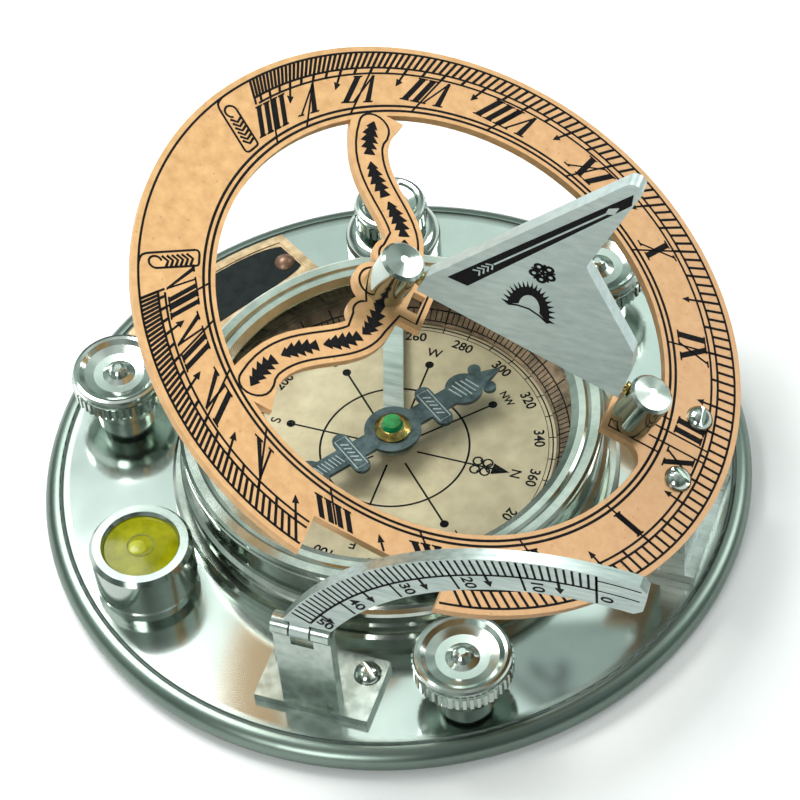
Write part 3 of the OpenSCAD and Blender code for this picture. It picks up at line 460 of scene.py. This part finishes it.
plate_copper = surface("plate_copper", (0.34, 0.24, 0.13), (0.56, 0.42, 0.26), 0.8, 0.25, 0.42, 350)
dress(plate_copper, "nameplate")
aged = surface("aged_rivet", (0.16, 0.09, 0.055), (0.32, 0.20, 0.14), 0.7, 0.3, 0.5, 500)
dress(aged, "nameplate_rivets")
NAME_TURN, NAME_R, NAME_L, NAME_BORDER, NAME_CURVE = -148, 53.6 * MM, 43 * MM, 2.4 * MM, 70.3 * MM
FIELD_LOW, FIELD_HIGH, CORNER, COLUMNS = -0.24 * MM, -0.06 * MM, 0.9 * MM, 33
plate_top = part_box("nameplate")[1].z
half = NAME_L / 2 - NAME_BORDER
outer_r = NAME_CURVE - NAME_BORDER
columns = [half * (2 * i / (COLUMNS - 1) - 1) for i in range(COLUMNS)]
rounding = [CORNER * (abs(x) / half) ** 8 for x in columns]
lefts = [(x, math.sqrt(outer_r ** 2 - x * x) - r) for x, r in zip(columns, rounding)]
rights = [(x, NAME_R + NAME_BORDER + r) for x, r in zip(columns, rounding)]
enamel = surface("black_field", (0.003, 0.006, 0.006), (0.010, 0.017, 0.016), 0.0, 0.45, 0.6, 300)
set_shader(enamel, Specular_IOR_Level=0.12)
field = strip(lefts, rights, False, FIELD_LOW, FIELD_HIGH)
piece("nameplate_field", [field], spin(NAME_TURN, 0, plate_top), enamel, "base")

# Ring hinge: a milled block screwed to the base, a leaf under the ring and a plain pin through both.
# Block and leaf are satin, because they were only filed before plating.

satin = surface("satin_nickel", (0.42, 0.48, 0.46), (0.60, 0.66, 0.63), 0.95, 0.22, 0.36, 900, (1, 0.12, 1))
dress(satin, "hinge_block", "hinge_leaf")
dress(nickel, "hinge_pin", "ring_screws")

# Chapter ring: copper sheet, sawn to shape and stoned flat, on the hinge leaf with two slotted screws.
# All its lines, numerals, leaves and borders are etched and filled with black.

copper = surface("ring_copper", (0.60, 0.33, 0.13), (0.78, 0.47, 0.21), 0.5, 0.34, 0.5, 350,
                 low=0.3, high=0.7)
# the spots are stains, and the ring darkens and turns bluer towards the north as painted shade
STAIN, NORTH_PAINTED_SHADE, PAINTED_SHADE_HALF = (0.34, 0.17, 0.07, 1), (0.60, 0.60, 0.68, 1), 60 * MM
where = add(copper, "ShaderNodeTexCoord")
cells = add(copper, "ShaderNodeTexVoronoi", Scale=420.0)
spots = add(copper, "ShaderNodeMapRange", From_Min=0.06, From_Max=0.14, To_Min=0.55, To_Max=1.0)
stained = add(copper, "ShaderNodeMix", data_type="RGBA")
stained.inputs["A"].default_value = STAIN
# painted shade: none at the south side of the ring, full at the north side
axes = add(copper, "ShaderNodeSeparateXYZ")
painted_shade_ramp = add(copper, "ShaderNodeMapRange", From_Min=-PAINTED_SHADE_HALF, From_Max=PAINTED_SHADE_HALF)
copper_painted_shade = add(copper, "ShaderNodeMix", data_type="RGBA", blend_type="MULTIPLY")
copper_painted_shade.inputs["B"].default_value = NORTH_PAINTED_SHADE
ring_colour = shader(copper).inputs["Base Color"]
join(copper, where.outputs["Object"], cells.inputs["Vector"])
join(copper, cells.outputs["Distance"], spots.inputs["Value"])
join(copper, spots.outputs["Result"], stained.inputs["Factor"])
join(copper, ring_colour.links[0].from_socket, stained.inputs["B"])
join(copper, where.outputs["Object"], axes.inputs["Vector"])
join(copper, axes.outputs["Y"], painted_shade_ramp.inputs["Value"])
join(copper, painted_shade_ramp.outputs["Result"], copper_painted_shade.inputs["Factor"])
join(copper, stained.outputs["Result"], copper_painted_shade.inputs["A"])
join(copper, copper_painted_shade.outputs["Result"], ring_colour)
dress(copper, "chapter_ring")

joints = {j["name"]: j for j in frame["record"]["behaviour"]["joints"]}
RING_R, BAND_R, REACH, PIN_DROP = 65 * MM, 48 * MM, 60 * MM, 7.6 * MM
EDGE_R, LADDER_R, TRACK_R, FEET_R, TOPS_R = (RING_R - v * MM for v in (1.4, 5.2, 6.6, 7.1, 13.4))
NOTCH_X, NOTCH_SOUTH, NOTCH_NORTH = 55.6 * MM, -8.6 * MM, 20.2 * MM
tilt = math.radians(joints["ring_tilt"]["range_deg"][0])
ring_place = (Matrix.Translation(joints["ring_tilt"]["pos_m"]) @ Matrix.Rotation(tilt, 4, "X")
              @ Matrix.Translation((0, -REACH, PIN_DROP + INK / 4)))
# the hour lines run from a centre south of the ring's middle, and 101 five-minute lines stand on each side
# of noon
HOUR, QUARTER, FIVE_MINUTES = 15, 15 / 4, 15 / 12
FIVES, LAST_HOUR = 101, 101 / 12
HOUR_CENTRE, HOUR_FACTOR = 34.5 * MM, 1.04
hour_marks = dict(factor=HOUR_FACTOR, offset=HOUR_CENTRE)


def on_hour(hour, radius):
    """Point where an hour line crosses a circle of the ring."""
    a = math.radians(HOUR * hour)
    t = math.atan2(HOUR_FACTOR * math.sin(a), math.cos(a))
    far = HOUR_CENTRE * math.cos(t) + math.sqrt(radius ** 2 - (HOUR_CENTRE * math.sin(t)) ** 2)
    return Vector((far * math.sin(t), far * math.cos(t) - HOUR_CENTRE))


def notch_turns(radius):
    """Turns at which a circle of the ring meets the north and the south side of the notch."""
    north = min(NOTCH_NORTH, math.sqrt(radius ** 2 - NOTCH_X ** 2))
    return [math.degrees(math.acos(y / radius)) for y in (north, NOTCH_SOUTH)]


LADDER_W, QUARTER_W, HOUR_W, INNER_W, PANEL_W = (v * MM for v in (0.6, 0.58, 0.42, 0.58, 0.5))
INNER_LINES, DART_L, DART_W, CUT_DART = (2.4 * MM, 1.2 * MM), 3.1 * MM, 1.5 * MM, 56.2 * MM
last_turn = math.degrees(math.atan2(*on_hour(LAST_HOUR, LADDER_R)))
north, south = notch_turns(EDGE_R)
cut = [line(arc(EDGE_R, south, 360 + north), PANEL_W)]
for radius, width in ((LADDER_R, 0.5 * MM), (TRACK_R, 0.48 * MM)):
    north, south = notch_turns(radius)
    cut.append(line(arc(radius, south, last_turn), width))
    cut.append(line(arc(radius, -last_turn, north), width))
cut += [ring(BAND_R + v, INNER_W) for v in INNER_LINES]
# ladder of five minutes, quarter hours, hour lines and half-hour darts, left out at the notch
for first, last in ((-FIVES, 35), (54, FIVES)):
    cut.append(marks(bar, last - first + 1, FIVE_MINUTES * first, FIVE_MINUTES, LADDER_R, EDGE_R, LADDER_W,
                     **hour_marks))
for first, last in ((-33, 11), (18, 33)):
    cut.append(marks(bar, last - first + 1, QUARTER * first, QUARTER, TRACK_R, LADDER_R, QUARTER_W,
                     **hour_marks))
cut.append(marks(bar, 2, -HOUR * LAST_HOUR, 2 * HOUR * LAST_HOUR, TRACK_R, EDGE_R, PANEL_W, **hour_marks))
for first, last, end in ((-8, -1, LADDER_R), (1, 2, LADDER_R), (3, 3, TRACK_R), (4, 4, NOTCH_X),
                         (5, 8, LADDER_R)):
    cut.append(marks(bar, last - first + 1, HOUR * first, HOUR, BAND_R + INNER_LINES[1], end, HOUR_W,
                     **hour_marks))
for first, count, end in ((-7.5, 8, TRACK_R), (0.5, 3, TRACK_R), (3.5, 1, CUT_DART), (4.5, 4, TRACK_R)):
    cut.append(marks(spear, count, HOUR * first, HOUR, end - DART_L, end, DART_W, **hour_marks))
# ornament, in millimetres: a frame on each side of the bare south panel, with a scroll and chevrons
FRAME = ((22.7, -59.35), (21.7, -59.5), (20.9, -59.4), (20.2, -58.9), (19.6, -58.2), (13.9, -50.6),
         (13.7, -50.1), (13.9, -49.7), (14.4, -49.4), (16.3, -48.75), (16.8, -48.75), (17.2, -49.1))
SCROLL, SCROLL_R, SCROLL_TURN, SCROLL_SWEEP = (20.9, -56.4), 1.35, 54.5, 260
CHEVRON, CHEVRON_FIRST, CHEVRON_STEP = ((1.65, 0.15), (0, 0), (-0.35, -1.55)), (19.3, -54.3), (-0.66, 0.82)
for s in (-1, 1):
    path = list(FRAME) + arc(SCROLL_R, SCROLL_TURN, SCROLL_TURN + SCROLL_SWEEP, SCROLL, 16)
    cut.append(line([(s * x * MM, y * MM) for x, y in path], PANEL_W))
    for i in range(6):
        corner = Vector(CHEVRON_FIRST) + Vector(CHEVRON_STEP) * i
        barbs = [corner + Vector(v) for v in CHEVRON]
        cut.append(line([(s * v.x * MM, v.y * MM) for v in barbs], 0.6 * MM))

# numerals: strokes in heights of the figure, from its foot, with thick, thin and serif lines
STROKES = {
    "I": [((-0.115, 0), (0.115, 0), (0.115, 1), (-0.115, 1)),
          ((-0.17, 0), (0.17, 0), (0.17, 0.06), (-0.17, 0.06)),
          ((-0.17, 0.94), (0.17, 0.94), (0.17, 1), (-0.17, 1))],
    "V": [((-0.04, 0), (0.08, 0), (-0.14, 1), (-0.36, 1)),
          ((-0.04, 0), (0.05, 0), (0.34, 1), (0.25, 1)),
          ((-0.43, 0.94), (-0.07, 0.94), (-0.07, 1), (-0.43, 1)),
          ((0.18, 0.94), (0.42, 0.94), (0.42, 1), (0.18, 1))],
    "X": [((0.16, 0), (0.38, 0), (-0.14, 1), (-0.36, 1)),
          ((-0.35, 0), (-0.26, 0), (0.34, 1), (0.25, 1)),
          ((-0.42, 0.94), (-0.08, 0.94), (-0.08, 1), (-0.42, 1)),
          ((0.18, 0.94), (0.42, 0.94), (0.42, 1), (0.18, 1)),
          ((-0.43, 0), (-0.18, 0), (-0.18, 0.06), (-0.43, 0.06)),
          ((0.1, 0), (0.44, 0), (0.44, 0.06), (0.1, 0.06))],
}
WIDE = {"I": 0.38, "V": 0.78, "X": 0.84}
# hours whose figure is cut narrower than the rest, and how far it stands aside of its line
CROWDED = {8: (0.74, -1.1 * MM), 7: (0.86, 0.0), 4: (0.86, 0.0), -8: (0.86, 0.3 * MM)}
USUAL_WIDTH, HEIGHT = 0.96, FEET_R - TOPS_R


def numeral(text, hour, aside=0.0):
    """Strokes of a numeral on its hour line, feet outwards, leaning with the line and cut at the notch."""
    narrow, shift = CROWDED.get(hour, (USUAL_WIDTH, aside))
    at = -sum(WIDE[c] for c in text) / 2
    foot, head = on_hour(hour, FEET_R), on_hour(hour, TOPS_R)
    right = Vector((-foot.y, foot.x)).normalized()
    made = []
    for c in text:
        for stroke in STROKES[c]:
            q = [foot + (head - foot) * y + right * ((at + WIDE[c] / 2 + x) * narrow * HEIGHT + shift)
                 for x, y in stroke]
            if min(v.x for v in q) < NOTCH_X:
                if max(v.x for v in q) > NOTCH_X:
                    back = (head - foot) / (foot.x - head.x)
                    q = [v + back * max(0, v.x - NOTCH_X) for v in q]
                made.append(strip([tuple(q[0]), tuple(q[3])], [tuple(q[1]), tuple(q[2])]))
        at += WIDE[c]
    return made


for hour, text in enumerate(("I", "II", "III", "IIII", "V", "VI", "VII", "VIII"), 1):
    cut += numeral(text, hour)
for hour, text in enumerate(("XI", "X", "IX", "VIII", "VII", "VI", "V", "IIII"), 1):
    cut += numeral(text, -hour)
# noon has its X and its II on both sides of the tongue
NOON_X, NOON_II, TONGUE_HALF, SLOT_HALF = -4.3 * MM, 4.1 * MM, 4.3 * MM, 1.5 * MM
TONGUE_ROOT, TONGUE_END, SLOT_END = 50.4 * MM, 38.7 * MM, 47 * MM
cut += numeral("X", 0, NOON_X) + numeral("II", 0, NOON_II)
for s in (-1, 1):
    cut.append(line([(s * SLOT_HALF, SLOT_END), (s * SLOT_HALF, LADDER_R)], HOUR_W))
cut.append(line([(-TONGUE_HALF, TONGUE_ROOT), (-TONGUE_HALF, TONGUE_END), (TONGUE_HALF, TONGUE_END),
                 (TONGUE_HALF, TONGUE_ROOT)], 0.45 * MM))

# arms: the border follows both arms, the lobes of the hub and the tab in one line, with leaves inside
INSET, ARM_HALF, ARM_TURN = 1.25 * MM, 4.1 * MM, math.radians(127)
ARM = [Vector(v) * MM for v in ((3.2, -13.5), (21, -8.5), (17, -30.5))]
ARM.append((BAND_R + 1 * MM) * Vector((math.sin(ARM_TURN), math.cos(ARM_TURN))))


def on_arm(t, aside=0.0, s=1):
    """Point on an arm's middle line, or beside it, in the ring's plane. Positive is to the north."""
    a, b, c, d = ARM
    u = 1 - t
    spot = u ** 3 * a + 3 * u * u * t * b + 3 * u * t * t * c + t ** 3 * d
    ahead = (3 * u * u * (b - a) + 6 * u * t * (c - b) + 3 * t * t * (d - c)).normalized()
    spot += Vector((-ahead.y, ahead.x)) * aside
    return Vector((s * spot.x, spot.y))


inside, swell = ARM_HALF - INSET, 0.9 * MM
ARM_FROM, ARM_RUN, SWELL_FROM, CAP, CAP_LONG = 0.14, 0.79, 0.85, 0.93, 0.3 * MM
half_border = [(4.6 * MM, -4.9 * MM), (4.6 * MM, -8.6 * MM)]
for i in range(25):
    t = ARM_FROM + ARM_RUN * i / 24
    half_border.append(tuple(on_arm(t, inside + swell * min(1, max(0, (t - SWELL_FROM) / 0.05)))))
cap = on_arm(CAP)
ahead = (cap - on_arm(CAP - 0.01)).normalized()
for i in range(1, 10):
    t, r = math.radians(90 - 18 * i), inside + swell * (1 - i / 10)
    out, beside = ahead * math.cos(t) * (inside + CAP_LONG), Vector((-ahead.y, ahead.x)) * math.sin(t) * r
    half_border.append(tuple(cap + out + beside))
half_border += [tuple(on_arm(CAP - 0.64 * i / 14, -inside)) for i in range(15)]
half_border += arc(2.75 * MM, 150, 250, (7.9 * MM, -14.9 * MM), 8)
half_border += arc(3.35 * MM, 105, 180, (0, -15.8 * MM), 6)
border = half_border + [(-x, y) for x, y in reversed(half_border[:-1])]
cut.append(line(border, 0.48 * MM, True))
# a leaf has a tip towards the hour band and barbs on both sides that lie back towards the hub
BARBS, LEAF_L, LEAVES = 5, 8.5 * MM, (0.13, 0.38, 0.64, 0.87)
for s in (-1, 1):
    for t in LEAVES:
        pace = (on_arm(t + 0.01) - on_arm(t - 0.01)).length / 0.02
        spine, wide = [], []
        for i in range(BARBS):
            full = (0.6 + 1.35 * math.sin(math.pi * (i + 1.1) / (BARBS + 1.2))) * MM
            spine += [i / BARBS, (i + 0.96) / BARBS]
            wide += [full * (0.42 if i else 0.1), full]
        spine.append(1)
        wide.append(0.3 * MM)
        spots = [t + (0.5 - r) * LEAF_L / pace for r in spine]
        lefts = [tuple(on_arm(q, w, s)) for q, w in zip(spots, wide)]
        rights = [tuple(on_arm(q, -w, s)) for q, w in zip(spots, wide)]
        cut.append(strip(lefts, rights))
piece("ring_etching", cut, ring_place, ink, "ring")

# Gnomon: thick plate between two turned posts, free to fold on brass pins. Posts and plate are plated.
# The face has a black band with an arrow beside the style edge, and a half sun with a small flower.

dress(nickel, "post_centre", "post_noon")
stoned = surface("stoned_nickel", (0.46, 0.55, 0.54), (0.58, 0.67, 0.65), 0.5, 0.3, 0.42, 600, (1, 0.3, 1))
dress(stoned, "gnomon")
POST_H, PIVOT_DOWN, PLATE_T, FOOT = 10.5 * MM, 2.6 * MM, 3 * MM, 13.5 * MM
upright = Matrix(((0, 0, 1, 0), (1, 0, 0, 0), (0, 1, 0, 0), (0, 0, 0, 1)))
face_place = ring_place @ Matrix.Translation((PLATE_T / 2 + INK / 4, -FOOT, POST_H - PIVOT_DOWN)) @ upright


def at(x, y):
    """Point on the gnomon's face, in millimetres north of the centre post and above its pivot."""
    return (x * MM, y * MM)


black = [strip([at(8.6, 6.3), at(27.9, 54.0)], [at(12.9, 6.8), at(28.9, 51.0)])]
SUN, SUN_W, SUN_H, LEAN = (25.8, 7.9), 4.7, 8.2, (-0.25, 0.968)
HOLLOW_W, HOLLOW_H, HOLLOW_UP = 2.3, 3.9, 1.9
RAYS, RAY_HALF, RAY_WIDE, RAY_HIGH = 18, 3.5, SUN_W + 1.35, SUN_H + 1.6


def on_sun(turn, wide, high, rise=0.0):
    """Point on an oval about the half sun's foot. The turn runs from its left end to its right one."""
    t = math.radians(turn)
    u, v = -wide * math.cos(t), high * math.sin(t) + rise
    return at(SUN[0] + u * LEAN[1] + v * LEAN[0], SUN[1] + v * LEAN[1] - u * LEAN[0] * 0.2)


turns = [i * 7.5 for i in range(25)]
black.append(strip([on_sun(t, SUN_W, SUN_H) for t in turns],
                   [on_sun(t, HOLLOW_W, HOLLOW_H, HOLLOW_UP) for t in turns]))
black.append(line([on_sun(180, SUN_W - 0.2, 0, 0.1), on_sun(150, 3, 0.4, 0.9), on_sun(90, 0, 0.6, 1.1),
                   on_sun(30, 3, 0.4, 0.9), on_sun(0, SUN_W - 0.2, 0, 0.1)], 0.5 * MM))
for i in range(RAYS):
    t = 4 + 10 * i
    black.append(strip([on_sun(t - RAY_HALF, SUN_W - 0.1, SUN_H - 0.1), on_sun(t, RAY_WIDE, RAY_HIGH)],
                       [on_sun(t + RAY_HALF, SUN_W - 0.1, SUN_H - 0.1), on_sun(t + 0.5, RAY_WIDE, RAY_HIGH)]))
# the flower has five ring petals and a short stroke between each two
BLOOM = (23.3, 21.2)
for i in range(5):
    t = math.radians(72 * i + 20)
    petal = at(BLOOM[0] + 1.75 * math.sin(t), BLOOM[1] + 1.95 * math.cos(t))
    black.append(line(arc(0.75 * MM, 0, 360, petal, 12)[:-1], 0.7 * MM, True))
    tip = at(BLOOM[0] + 2.5 * math.sin(t + 0.63), BLOOM[1] + 2.7 * math.cos(t + 0.63))
    black.append(line([at(*BLOOM), tip], 0.55 * MM))
piece("gnomon_etching", black, face_place, ink, "gnomon")
# the arrow is left bright in the black band, with four barbs at its tail
ARROW_W = 0.4 * MM
tail, head = Vector((14.6, 16.6)), Vector((26.2, 46.0))
along = (head - tail).normalized()
across = Vector((along.y, -along.x))
arrow = [line([at(*tail), at(*head)], ARROW_W)]
tips = [(head - along * 0.3, 0.3), (head + along * 0.9, 0.85), (head + along * 2.9, 0.05)]
arrow.append(strip([at(*(c - across * w)) for c, w in tips], [at(*(c + across * w)) for c, w in tips]))
for i in range(4):
    c = tail - along * (0.4 + 1.25 * i)
    barbs = [c - along * 1.1 - across * 0.9, c, c - along * 1.1 + across * 0.9]
    arrow.append(line([at(*v) for v in barbs], ARROW_W))
arrow_place = face_place @ Matrix.Translation((0, 0, INK / 2))
piece("gnomon_arrow", arrow, arrow_place, stoned, "gnomon")

# Latitude arc: a flat curved bar on a forked bracket, beside the ring and free to fold outwards.
# It passes through the ring's notch. Its degrees are cut into the outer face and filled with black.

arc_metal = surface("arc_nickel", (0.30, 0.36, 0.34), (0.44, 0.50, 0.47), 0.9, 0.22, 0.38, 900, (1, 0.12, 1))
dress(arc_metal, "latitude_arc")
bracket_metal = surface("bracket_nickel", (0.32, 0.38, 0.34), (0.50, 0.56, 0.51), 1.0, 0.16, 0.32, 300)
dress(bracket_metal, "arc_bracket")
dress(nickel, "arc_pin", "bracket_screws")
ARC_R, ARC_W, ARC_DOWN, ARC_FACE, MARGIN = 67.5 * MM, 8.8 * MM, 21 * MM, 64.6 * MM, 0.3 * MM
ZERO_TURN, DEGREE, LAST_DEGREE, TIP_TURN = 0.3, 1.24, 48, 7.2
hinge = Vector(joints["ring_tilt"]["pos_m"])
arc_place = Matrix.Translation((ARC_FACE + INK / 4, hinge.y, hinge.z - ARC_DOWN)) @ upright
RIM, LEDGE, FOOT_R = ARC_R + ARC_W / 2 - MARGIN, ARC_R - 0.2 * MM, ARC_R - ARC_W / 2 + MARGIN
# each figure, and the degrees by which its middle stands beside its line
FIGURES = ((0, 1.6), (10, 2.4), (20, 2.5), (30, 2.5), (40, 2.5), (50, 4.6))
FIGURE_DOWN, FIGURE_H = 2.35 * MM, 3.3 * MM


def degree(value):
    """Turn of a degree line about the arc's centre."""
    return ZERO_TURN - DEGREE * value


lines = [marks(bar, LAST_DEGREE + 1, degree(LAST_DEGREE), DEGREE, LEDGE, RIM, 0.5 * MM),
         marks(bar, 5, degree(40), 10 * DEGREE, FOOT_R, RIM, 0.5 * MM),
         marks(spear, 5, degree(45), 10 * DEGREE, FOOT_R + 0.6 * MM, LEDGE, 1.9 * MM),
         line(arc(LEDGE, degree(LAST_DEGREE), degree(0)), 0.48 * MM),
         line(arc(LEDGE, degree(0), TIP_TURN), 0.3 * MM),
         line(arc(LEDGE + 3 * MM, degree(0), TIP_TURN), 0.3 * MM)]
for value, aside in FIGURES:
    place = spin(degree(value) + aside, ARC_R - FIGURE_DOWN) @ Matrix.Rotation(math.radians(-90), 4, "Z")
    lines.append(letters(str(value), FIGURE_H, place, 0.08 * MM))
piece("arc_degrees", lines, arc_place, ink, "arc")

# Studio: a pale floor under a soft sky, bright overhead and grey-green lower down, with a few soft patches.
# Large soft lamps give the gleams. Bright metal shows this sky, as the real one shows its room.

FLOOR = 3
sheet = bpy.data.meshes.new("floor")
corners = [(-FLOOR, -FLOOR, 0), (FLOOR, -FLOOR, 0), (FLOOR, FLOOR, 0), (-FLOOR, FLOOR, 0)]
sheet.from_pydata(corners, [], [(0, 1, 2, 3)])
sheet.materials.append(surface("pale_floor", (0.88, 0.88, 0.88), (0.92, 0.92, 0.92), 0.0, 0.6, 0.8, 20))
floor = bpy.data.objects.new("floor", sheet)
bpy.context.collection.objects.link(floor)

world = bpy.data.worlds.new("studio")
bpy.context.scene.world = world
world.use_nodes = True
light = world.node_tree.nodes["Background"]
where = add(world, "ShaderNodeTexCoord")
parts = add(world, "ShaderNodeSeparateXYZ")
sky = add(world, "ShaderNodeValToRGB")
sky.color_ramp.interpolation = "EASE"
levels = ((0.0, (0.72, 0.76, 0.74)), (0.10, (0.42, 0.48, 0.46)), (0.28, (0.17, 0.22, 0.20)),
          (0.50, (0.33, 0.41, 0.38)), (0.78, (0.60, 0.70, 0.67)), (1.0, (0.95, 1.0, 0.98)))
while len(sky.color_ramp.elements) < len(levels):
    sky.color_ramp.elements.new(0.5)
for element, (height, colour) in zip(sky.color_ramp.elements, levels):
    element.position, element.color = height, (*colour, 1)
patches = add(world, "ShaderNodeTexNoise", Scale=1.7, Detail=1.0)
lift = add(world, "ShaderNodeMapRange", From_Min=0.35, From_Max=0.65, To_Min=0.55, To_Max=1.6)
join(world, where.outputs["Generated"], parts.inputs["Vector"])
join(world, parts.outputs["Z"], sky.inputs["Fac"])
join(world, where.outputs["Generated"], patches.inputs["Vector"])
join(world, patches.outputs["Fac"], lift.inputs["Value"])
room = add(world, "ShaderNodeVectorMath", operation="DOT_PRODUCT")
room.inputs[1].default_value = (0.91, 0.41, 0.0)
shade = add(world, "ShaderNodeMapRange", From_Min=-0.5, From_Max=0.6, To_Min=1.15, To_Max=0.5)
level = add(world, "ShaderNodeMath", operation="MULTIPLY")
join(world, where.outputs["Generated"], room.inputs[0])
join(world, room.outputs["Value"], shade.inputs["Value"])
join(world, lift.outputs["Result"], level.inputs[0])
join(world, shade.outputs["Result"], level.inputs[1])
join(world, sky.outputs["Color"], light.inputs["Color"])
join(world, level.outputs["Value"], light.inputs["Strength"])


MIDDLE = Vector((0, 0, 0.04))


def lamp(name, place, size, power):
    """A square soft lamp that faces the object's middle."""
    light = bpy.data.lights.new(name, "AREA")
    light.size, light.energy = size, power
    o = bpy.data.objects.new(name, light)
    o.location = place
    o.rotation_euler = (MIDDLE - Vector(place)).to_track_quat("-Z", "Y").to_euler()
    bpy.context.collection.objects.link(o)


lamp("key", (-0.25, -0.5, 0.9), 0.5, 9)
lamp("side", (0.9, -0.1, 0.55), 0.35, 4)
lamp("back", (-0.6, 0.6, 0.7), 0.4, 3)

# Camera: 0.7 m away at the photograph's angle, with its slight lean. It is turned a little aside, so that
# the object stands where it does in the photograph's frame.

AZIMUTH, ELEVATION, LEANING = math.radians(114.52), math.radians(52.11), math.radians(-6.89)
DISTANCE, AIM = 0.7, Vector((0.0099, -0.0026, 0.006))
FRAME_PX, FOCAL_PX, CLOSER, ASIDE_PX, ABOVE_PX, SENSOR = 800, 1870, 1.78, 17.2, 53.0, 36
back = Vector((math.sin(AZIMUTH) * math.cos(ELEVATION), -math.cos(AZIMUTH) * math.cos(ELEVATION),
               math.sin(ELEVATION)))
level_side = Vector((0, 0, 1)).cross(back).normalized()
level_rise = back.cross(level_side)
side = math.cos(LEANING) * level_side + math.sin(LEANING) * level_rise
rise = math.cos(LEANING) * level_rise - math.sin(LEANING) * level_side
place = AIM + back * DISTANCE
back = (back - side * ASIDE_PX / FOCAL_PX - rise * ABOVE_PX / FOCAL_PX).normalized()
side = (side - back * side.dot(back)).normalized()
rise = back.cross(side)
data = bpy.data.cameras.new("camera")
data.sensor_width = SENSOR
data.lens = SENSOR * FOCAL_PX * CLOSER / FRAME_PX
camera = bpy.data.objects.new("camera", data)
camera.matrix_world = Matrix.Translation(place) @ Matrix((side, rise, back)).transposed().to_4x4()
bpy.context.collection.objects.link(camera)
bpy.context.scene.camera = camera
bpy.context.scene.view_settings.view_transform = "Standard"
